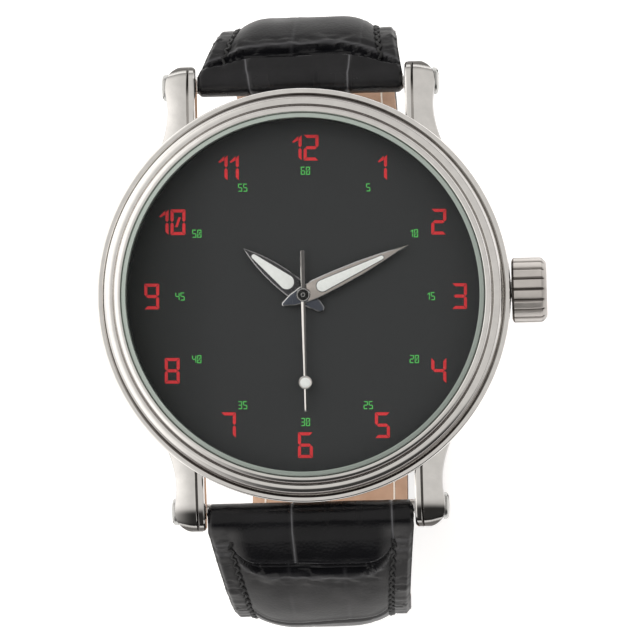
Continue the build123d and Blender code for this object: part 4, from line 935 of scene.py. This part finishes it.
lower = StrapHalf(
    "strap_6", -1, turn=8.9, lean=16, flat_y=16.0, flat_end=STEP_START, rise=1.3, pillow=5.0,
    creases=(6.2, 15.6, 22.4, 28.6, 35.8, 43.0, 50.0, 56.8, 63.5, 70.5, 77.0, 83.5),
    grooves=((-2.0, 8.7), (-2.9, 3.1), (-1.0, 5.6), (-4.6, 2.2), (-5.8, 4.4), (-2.4, 3.4), (-5.0, 1.0),
             (-1.4, 5.0), (-4.2, 2.4), (-3.0, 3.8), (-0.6, 4.4), (-4.4, 1.8)),
    slants=(0.0, 0.0), pull=2.3, span=3.4, curl=3.4, crease_margin=2.0, fold_width=1.15,
    roll_shift=0.85, roll_end=62, first_row=2.2, first_stitch=3.6, last_stitch=10.0,
    taper=(25.0, 34.4), bend_half=9.5, lean_aside=0.65, painted_sheen_levels=(0.0, 0.95), strip_painted_sheen=0.4)

# The lower half goes on below the upper one, through the keepers and up round its bend
(tail_y, tail_z), tail_bend = upper.bend
lower.add_run((STEP_START, LOOP_BOTTOM), (STEP_END, LOOP_BOTTOM - LAYER_DROP))
lower.add_run((STEP_END, LOOP_BOTTOM - LAYER_DROP), (-tail_y, LOOP_BOTTOM - LAYER_DROP))
tail_step = math.radians((TAIL_END - TAIL_START) / TAIL_STEPS) * (tail_bend + TAIL_MIDDLE)
for turn in steps(math.radians(TAIL_START), math.radians(TAIL_END), TAIL_STEPS)[1:]:
    way_y, way_z = -math.cos(turn), math.sin(turn)
    lower.add(way_y * (tail_bend + LAYER_DROP) - tail_y, way_z * (tail_bend + LAYER_DROP) + tail_z,
              way_y, way_z, END_PAD, tail_step)


# Forms of the black leather
def crease_reach(strap, x, half):
    """How far x is on the way from the flat of a crease to its end."""
    end = half - strap.crease_margin
    return share_between(abs(x), end - strap.span, end)


def crease_place(strap, number, x, half):
    """Where a crease across the strap lies at x: it curves back to the bar near the edges."""
    crease = strap.creases[number]
    sway = 0.35 * math.sin(x * 0.5 + crease) if number else 0.1 * math.sin(x * 0.4)
    return crease - strap.pull * crease_reach(strap, x, half) ** strap.curl + sway


def fold_width(strap, x, half):
    return strap.fold_width * (1 - 0.5 * crease_reach(strap, x, half))


def pad_height(strap, pad, edge):
    """The crowned padding between the stitches, in a dip of its own, and the rounded edge."""
    flat = 1.0 - share_between(edge, STITCH_INSET, STITCH_INSET + strap.pillow)
    height = STRAP_THICK + (pad - STRAP_THICK) * (1.0 - flat ** 2.2)
    return height - 0.5 * (1 - smoothstep(edge, 0.0, 0.55)) - 0.14 * bell(edge - STITCH_INSET, 0.32)


def first_fold(strap, along, away, x, half, on_pad):
    """The double fold after the first section, with a ridge inside it and ripples beyond it."""
    if abs(away) >= 2.8:
        return 0.0
    wide, whole = fold_width(strap, x, half), 1.0 if strap.side > 0 else on_pad
    trench = (smoothstep(away, -0.3, 0.3) - smoothstep(away, wide - 0.16, wide + 0.06)
              - 0.3 * bell(away - wide * 0.46, 0.11))
    height = (0.08 * bell(away + 0.35, 0.25) - (0.75 - 0.3 * crease_reach(strap, x, half)) * trench) * whole
    height += 0.12 * bell(away - wide - 0.25, 0.28) * on_pad
    if away > wide * 0.7:
        ripple = noise.noise(Vector((x * 0.9, along * 2.6, 3.7)))
        height += 0.24 * ripple * bell(away - wide - 0.5, 0.8) * on_pad
    return height


def leather_height(strap, station, x, half):
    """Height of the black leather above the wrist side at x."""
    along, edge = station.along, half - abs(x)
    on_pad = smoothstep(edge, 1.9, 2.6)
    pasts = [along - crease_place(strap, number, x, half) for number in range(len(strap.creases))]
    section = sum(past > 0 for past in pasts)
    height = pad_height(strap, station.pad, edge) + first_fold(strap, along, pasts[0], x, half, on_pad)
    for past in pasts[1:]:
        if abs(past) < 2.5:
            height += (0.1 * bell(abs(past) - 0.6, 0.26) - 0.2 * bell(past, 0.3)) * on_pad
    depth = 0.05 * on_pad if section else 0.13
    for groove in strap.grooves[min(section, len(strap.grooves) - 1)]:
        height -= depth * bell(x - groove, 0.12)
    if section or strap.side < 0:
        fold = noise.noise(Vector((abs(x) * 0.35 + strap.side * 7, along * 1.5, 0.4)))
        height += (1 - smoothstep(edge, 1.6, 2.1)) * (0.13 * fold - 0.16 * bell(fold - 0.32, 0.07))
    return height + 0.05 * noise.noise(Vector((x * 0.45, along * 0.5, 9.0)))


def across(half, lines):
    """Places across the strap, closer together at the edges, the stitches and the worn lines."""
    small = min(1.0, half / 8.9)
    inner = half - 4.0 * small
    places = [-half + part * small for part in steps(0.0, 0.5, 5) + steps(0.5, 4.0, 17)[1:]]
    fine = [(line + part) * small for line in lines for part in (-0.13, -0.06, 0.0, 0.06, 0.13)]
    return sorted(places + steps(-inner, inner, 40)[1:-1] + [-place for place in places] + fine)


def slanted(strap, x, along):
    """Moves x aside where a worn line of the first section slants."""
    for line, slant in zip(strap.grooves[0], strap.slants):
        x += slant * (min(along, 4.5) + 1.0) * bell(x - line, 1.6) * (1 - smoothstep(along, 4.5, 8.0))
    return x


def worn_line(strap, section, x):
    """Pale wear along the lengthwise grooves, clear in the first section and faint in the next."""
    if section > 1:
        return 0.0
    return (0.75, 0.12)[section] * max(bell(x - groove, 0.08) for groove in strap.grooves[section])


def leather_marks(strap, along, x, half):
    """Polish, wear, painted crease-rim highlights and painted sheen of the leather at a place."""
    edge = half - abs(x)
    away = along - crease_place(strap, 0, x, half)
    wide = fold_width(strap, x, half)
    section = 0 if away < 0 else (1 if along < strap.creases[1] else 2)
    beyond = smoothstep(away, wide + 0.02, wide + 0.3)
    # Painted highlights along the crease rims share the pale tone with the worn lines
    rim = 0.32 * bell(away - wide - 0.32, 0.16)
    if strap.side < 0:
        rim += 0.3 * bell(away + 0.16, 0.13) + 0.16 * bell(away - wide * 0.46, 0.1)
        beyond = max(beyond, 1 - smoothstep(edge, 2.2, 4.0))
    worn = worn_line(strap, section, x) if edge > 2.4 or section == 0 else 0.0
    # Painted sheen beyond the first crease, on the lower half's flanks and on the side strips
    first, second = strap.painted_sheen_levels
    painted_sheen = (first if away < 0.2 else 0.0) * (1 - beyond) + second * beyond
    painted_sheen += strap.strip_painted_sheen * beyond * (1 - smoothstep(edge, 1.6, 2.2))
    return 1.0 - beyond, max(rim, worn), painted_sheen


# Black leather
def raised(station, x, height):
    return x, station.y + station.normal_y * height, station.z + station.normal_z * height


def round_bar(strap, centre, turn, x, tall):
    """The point at a height above a bar's axis, at a turn in degrees round it."""
    way = math.radians(turn)
    return x, centre[0] + strap.side * math.cos(way) * tall, centre[1] + math.sin(way) * tall


def roll_rows(strap):
    """Rows over the leather that turns round the bar, from its underside over the case side."""
    half, centre = WRIST_HALF - 0.02, (strap.side * (BAR_Y + strap.roll_shift), BAR_Z)
    rows, marks = [], []
    for turn in steps(ROLL_START, strap.roll_end, ROLL_STEPS):
        row = []
        for x in across(half, strap.grooves[0]):
            tall = ROLL_RADIUS - 0.34 * (1 - smoothstep(half - abs(x), 0.0, 0.6)) ** 2
            tall += 0.025 * noise.noise(Vector((x * 0.6, turn * 0.03, strap.side * 3.0)))
            tall -= 0.07 * max(bell(x - groove, 0.12) for groove in strap.grooves[0])
            row.append(round_bar(strap, centre, turn, slanted(strap, x, -turn / 60 + 1.5), tall))
            marks.append((row[-1], 0.7, worn_line(strap, 0, x), strap.painted_sheen_levels[0]))
        rows.append(row + [round_bar(strap, centre, turn, x, ROLL_FOOT)
                           for x in steps(half, -half, LEATHER_PLACES)])
    return rows, marks


def pivot_roll_row(strap, turn):
    """A row of the leather wrapped round the buckle's bar at a turn in degrees."""
    outside = [(x, PIVOT_ROLL - 0.2 * (1 - smoothstep(END_HALF - abs(x), 0.0, 0.4)))
               for x in across(END_HALF, strap.grooves[0])]
    inside = [(x, PIVOT_ROLL_FOOT) for x in steps(END_HALF, -END_HALF, LEATHER_PLACES)]
    return [round_bar(strap, (PIVOT_Y, PIVOT_Z), turn, x, tall) for x, tall in outside + inside]


def leather_rows(strap):
    """Rows of points over the black leather from round the bar to the far end, and their marks."""
    rows, marks = roll_rows(strap)
    for station in strap.stations:
        if station.along < strap.first_row:
            continue
        half, lean = strap.half_width(station), strap.skew(station)
        join = smoothstep(station.along, strap.first_row - 0.3, strap.first_row + 1.2)
        row = []
        for x in across(half, strap.grooves[0]):
            height = JOIN_HEIGHT + (leather_height(strap, station, x, half) - JOIN_HEIGHT) * join
            row.append(raised(station, slanted(strap, x, station.along) + lean, height))
            marks.append((row[-1], *leather_marks(strap, station.along, x, half)))
        rows.append(row + [raised(station, x + lean, LEATHER_FOOT)
                           for x in steps(half, -half, LEATHER_PLACES)])
    if strap.side > 0:
        rows += [pivot_roll_row(strap, turn) for turn in steps(*PIVOT_TURNS)]
    return rows, marks


def set_marks(obj, marks):
    """Stores each point's polish, wear and painted highlight, and painted sheen, found by place once the
    points are welded.
    """
    places = {tuple(round(part, 2) for part in point): values for point, *values in marks}
    layers = [obj.data.attributes.new(name, "FLOAT", "POINT") for name in ("gloss", "line", "painted_sheen")]
    for index, vertex in enumerate(obj.data.vertices):
        values = places.get(tuple(round(part / MM, 2) for part in vertex.co), (0.0, 0.0, 0.0))
        for layer, value in zip(layers, values):
            layer.data[index].value = value


def leather_piece(strap):
    rows, marks = leather_rows(strap)
    piece = build(strap.name + "_leather", skin(rows), black_leather, sharp=SOFT_SHARP)
    set_marks(piece, marks)
    return piece


# Lining and threads
def lining_piece(strap):
    """The tan lining, with softly rounded edges and a shallow dip under its stitches."""
    rows = []
    for station in strap.stations:
        half, lean = strap.half_width(station) - LINING_INSET, strap.skew(station)
        foot = []
        for x in steps(-half, half, LINING_PLACES):
            edge = half - abs(x)
            low = 0.22 * (1 - smoothstep(edge, 0.0, 0.3)) + 0.06 * bell(edge - SEAM_INSET, 0.2)
            low += 0.02 * noise.noise(Vector((x * 0.5, station.along * 0.5, strap.side * 5.0)))
            foot.append(raised(station, x + lean, low))
        rows.append(foot + [raised(station, x + lean, LINING_TOP)
                            for x in steps(half, -half, LINING_PLACES)])
    return build(strap.name + "_tan", skin(rows), tan_leather, sharp=SOFT_SHARP)


def zigzag(strap, side_x, start, end):
    """A chunky zigzag thread along one edge of a strap half."""
    path = []
    for index in range(round((end - start) / (STITCH_PITCH / 2))):
        along = start + index * STITCH_PITCH / 2
        here = min(strap.stations, key=lambda station: abs(station.along - along))
        half = strap.half_width(here)
        for part in (-0.25, 0.25):
            swing = STITCH_SWING * (1 if index % 2 else -1) * (1 if part > 0 else 0.6)
            x = side_x * (half - STITCH_INSET + swing)
            height = leather_height(strap, here, x, half) + STITCH_RADIUS * 0.4
            move = (along - here.along + part * STITCH_PITCH / 2) * strap.side
            _, y, z = raised(here, x, height)
            path.append((x + strap.skew(here), y + here.normal_z * move, z - here.normal_y * move))
    return tube(path, STITCH_RADIUS)


def seam_thread(strap, side_x, start, end):
    """A straight lining thread that dips into the leather at every stitch."""
    path = []
    for station in strap.stations:
        if start < station.along < end:
            x = side_x * (strap.half_width(station) - LINING_INSET - SEAM_INSET) + strap.skew(station)
            path.append(raised(station, x, 0.02 + SEAM_DIP * math.sin(station.along * math.tau / SEAM_PITCH)))
    return tube(path, SEAM_RADIUS)


def hole_cutter(y, radius, straight):
    """The cutter for an upright hole with round ends through the layers under the wrist."""
    outline = arc((0.0, y + straight), radius, 0, 180, 16) + arc((0.0, y - straight), radius, 180, 360, 16)
    return prism(outline, HOLE_LOW, HOLE_HIGH)


slot_x, slot_y, slot_z = TONGUE_SLOT
upper_cutters = [prism(rectangle(0.0, PIVOT_Y, slot_x, slot_y), PIVOT_Z - slot_z, PIVOT_Z + slot_z)]
lower_cutters = [hole_cutter(*hole) for hole in TONGUE_HOLES]
for strap, cutters in ((upper, upper_cutters), (lower, lower_cutters)):
    leather, lining = leather_piece(strap), lining_piece(strap)
    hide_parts(strap.name + "_upper", strap.name + "_padding")
    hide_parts(strap.name + "_lining")
    end = strap.length - strap.last_stitch
    threads = [zigzag(strap, side_x, strap.first_stitch, end) for side_x in (-1, 1)]
    build(strap.name + "_stitches", joined(threads), black_thread, sharp=THREAD_SHARP)
    seams = [seam_thread(strap, side_x, SEAM_START, end) for side_x in (-1, 1)]
    build(strap.name + "_lining_stitches", joined(seams), pale_thread, sharp=THREAD_SHARP)
    for piece in (leather, lining):
        for cutter in cutters:
            subtract(piece, cutter, sharp=SOFT_SHARP)


# Keepers
def keeper_loop(grow, corner, count=8):
    """A rounded rectangle in X and Z round the strap, grown from the keeper's inside."""
    half_x, half_z = KEEPER_HALF_X + grow - corner, KEEPER_HALF_Z + grow - corner
    spots = []
    for sign_x, sign_z, start in ((1, 1, 0), (-1, 1, 90), (-1, -1, 180), (1, -1, 270)):
        spots += arc((sign_x * half_x, sign_z * half_z), corner, start, start + 90, count)
    return spots


def keeper(name, place, body):
    """A leather loop with a domed face, rounded edges and a thread along each edge."""
    near_half = [(-0.5, 0.0), (-0.5, 0.62), (-0.44, 0.86), (-0.3, 0.96), (-0.12, 0.99)]
    profile = near_half + [(0.0, 1.0)] + [(-wide, tall) for wide, tall in reversed(near_half)]
    rows = []
    for (inner_x, inner_z), (outer_x, outer_z) in zip(keeper_loop(0.0, KEEPER_INNER_CORNER),
                                                      keeper_loop(KEEPER_WALL, KEEPER_CORNER)):
        rows.append([(inner_x + (outer_x - inner_x) * tall, place + wide * KEEPER_WIDE,
                      KEEPER_CENTRE_Z + inner_z + (outer_z - inner_z) * tall) for wide, tall in profile])
    piece = build(name + "_loop", skin(rows, wrap_rows=True), black_leather, body,
                  sharp=SOFT_SHARP)
    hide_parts(name)
    seat = keeper_loop(KEEPER_WALL - 0.06, KEEPER_CORNER, 10)
    threads = [tube([(x, place + wide * KEEPER_WIDE, KEEPER_CENTRE_Z + z) for x, z in seat],
                    KEEPER_THREAD, closed=True) for wide in (-0.33, 0.33)]
    build(name + "_stitches", joined(threads), black_thread, body, sharp=THREAD_SHARP)


keeper("keeper_fixed", FIXED_KEEPER_Y, "case")
keeper("keeper_free", FREE_KEEPER_Y, "free_keeper")

# Looks of the solids that the scene keeps as they are
NODE_LOOKS = (
    (dial_look(), "dial"), (ring_paint, "dial_ring"), (back_steel, "case_back battery"),
    (rubber, "case_back_gasket crown_gasket"), (nylon, "crystal_gasket"),
    (polished, "buckle_frame buckle_tongue"),
    (inner_steel, "crown_tube stem strap_bars buckle_bar rotor stator battery_clip"),
    (holder_white, "movement_ring"), (plate_brass, "main_plate train_bridge"), (copper, "coil"),
    (brass, "fifth_wheel second_wheel third_wheel centre_wheel minute_wheel hour_wheel"),
    (board_green, "circuit_board"))
for look, nodes in NODE_LOOKS:
    for node in nodes.split():
        for material_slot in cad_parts[node].material_slots:
            material_slot.material = look


# Floor, light and camera
def add_floor():
    z = cad_low.z - FLOOR_DROP
    mesh = bpy.data.meshes.new("floor")
    mesh.from_pydata([(x, y, z) for x, y in rectangle(0.0, 0.0, FLOOR_SIZE, FLOOR_SIZE)], [], [(0, 1, 2, 3)])
    floor = add_object("floor", mesh)
    material, tree, shader = new_material("floor_paint")
    set_inputs(tree, shader, {"Base Color": (0.93, 0.93, 0.93), "Roughness": 0.9, "Specular IOR Level": 0.0,
                              "Emission Color": (1.0, 1.0, 1.0), "Emission Strength": 0.4})
    mesh.materials.append(material)


def add_sky():
    """A studio that is bright to the left, soft overhead and dark beyond the watch's lower end."""
    world = bpy.data.worlds.new("studio")
    bpy.context.scene.world = world
    world.use_nodes = True
    tree = world.node_tree
    where = tree.nodes.new("ShaderNodeTexCoord")
    way = add_node(tree, "ShaderNodeSeparateXYZ", {"Vector": where.outputs["Generated"]}).outputs

    def ramp(axis, from_low, from_high, low, high):
        return ranged(tree, way[axis], low, high, from_low, from_high, interpolation_type="SMOOTHSTEP")

    left = ramp("X", -0.85, -0.1, 1.0, 0.0)
    dark = maths(tree, "MULTIPLY", ramp("Y", -0.70, -0.42, 1.0, 0.0), maths(tree, "SUBTRACT", 1.0, left))
    dark = maths(tree, "MULTIPLY", dark, 0.93)
    horizon = maths(tree, "MAXIMUM", ramp("Z", 0.02, 0.3, 0.55, 1.0), left)
    level = maths(tree, "ADD", maths(tree, "MULTIPLY", left, 0.75), SKY_LEVEL)
    level = maths(tree, "MULTIPLY", level, maths(tree, "SUBTRACT", 1.0, dark))
    set_inputs(tree, tree.nodes["Background"], {"Color": (1.0, 0.975, 0.945),
                                                "Strength": maths(tree, "MULTIPLY", level, horizon)})


def area_light(name, place, size, watts, colour):
    """A soft light aimed at the watch, that its metal doesn't mirror."""
    data = bpy.data.lights.new(name, "AREA")
    data.size, data.energy, data.color = size, watts, colour
    lamp = add_object(name, data)
    lamp.location = place
    lamp.rotation_euler = (-Vector(place)).to_track_quat("-Z", "Y").to_euler()
    lamp.visible_glossy = False


def add_camera():
    """Looks down on the dial from the photograph's angle."""
    data = bpy.data.cameras.new("camera")
    data.angle = 2 * math.atan(VIEW_HALF / CAMERA_AWAY)
    data.clip_start = 0.01
    camera = add_object("camera", data)
    up = ART_UP.to_3d()
    target = (ART_RIGHT * VIEW_RIGHT - ART_UP * VIEW_DOWN).to_3d() * MM + Vector((0.0, 0.0, AIM_HEIGHT))
    back = Vector((math.sin(TILT_RIGHT), -math.sin(TILT_DOWN), 0.0))
    back.z = math.sqrt(1 - back.length_squared)
    side = up.cross(back).normalized()
    turn = Matrix((side, back.cross(side).normalized(), back)).transposed().to_4x4()
    camera.matrix_world = Matrix.Translation(target + back * CAMERA_AWAY) @ turn
    bpy.context.scene.camera = camera


add_floor()
add_sky()
add_camera()
area_light("key_light", (-0.35, 0.3, 0.7), 0.45, 2.7, (1.0, 0.985, 0.96))
area_light("fill_light", (0.5, 0.1, 0.6), 0.7, 1.3, (1.0, 1.0, 1.0))
bpy.context.scene.view_settings.view_transform = "Standard"
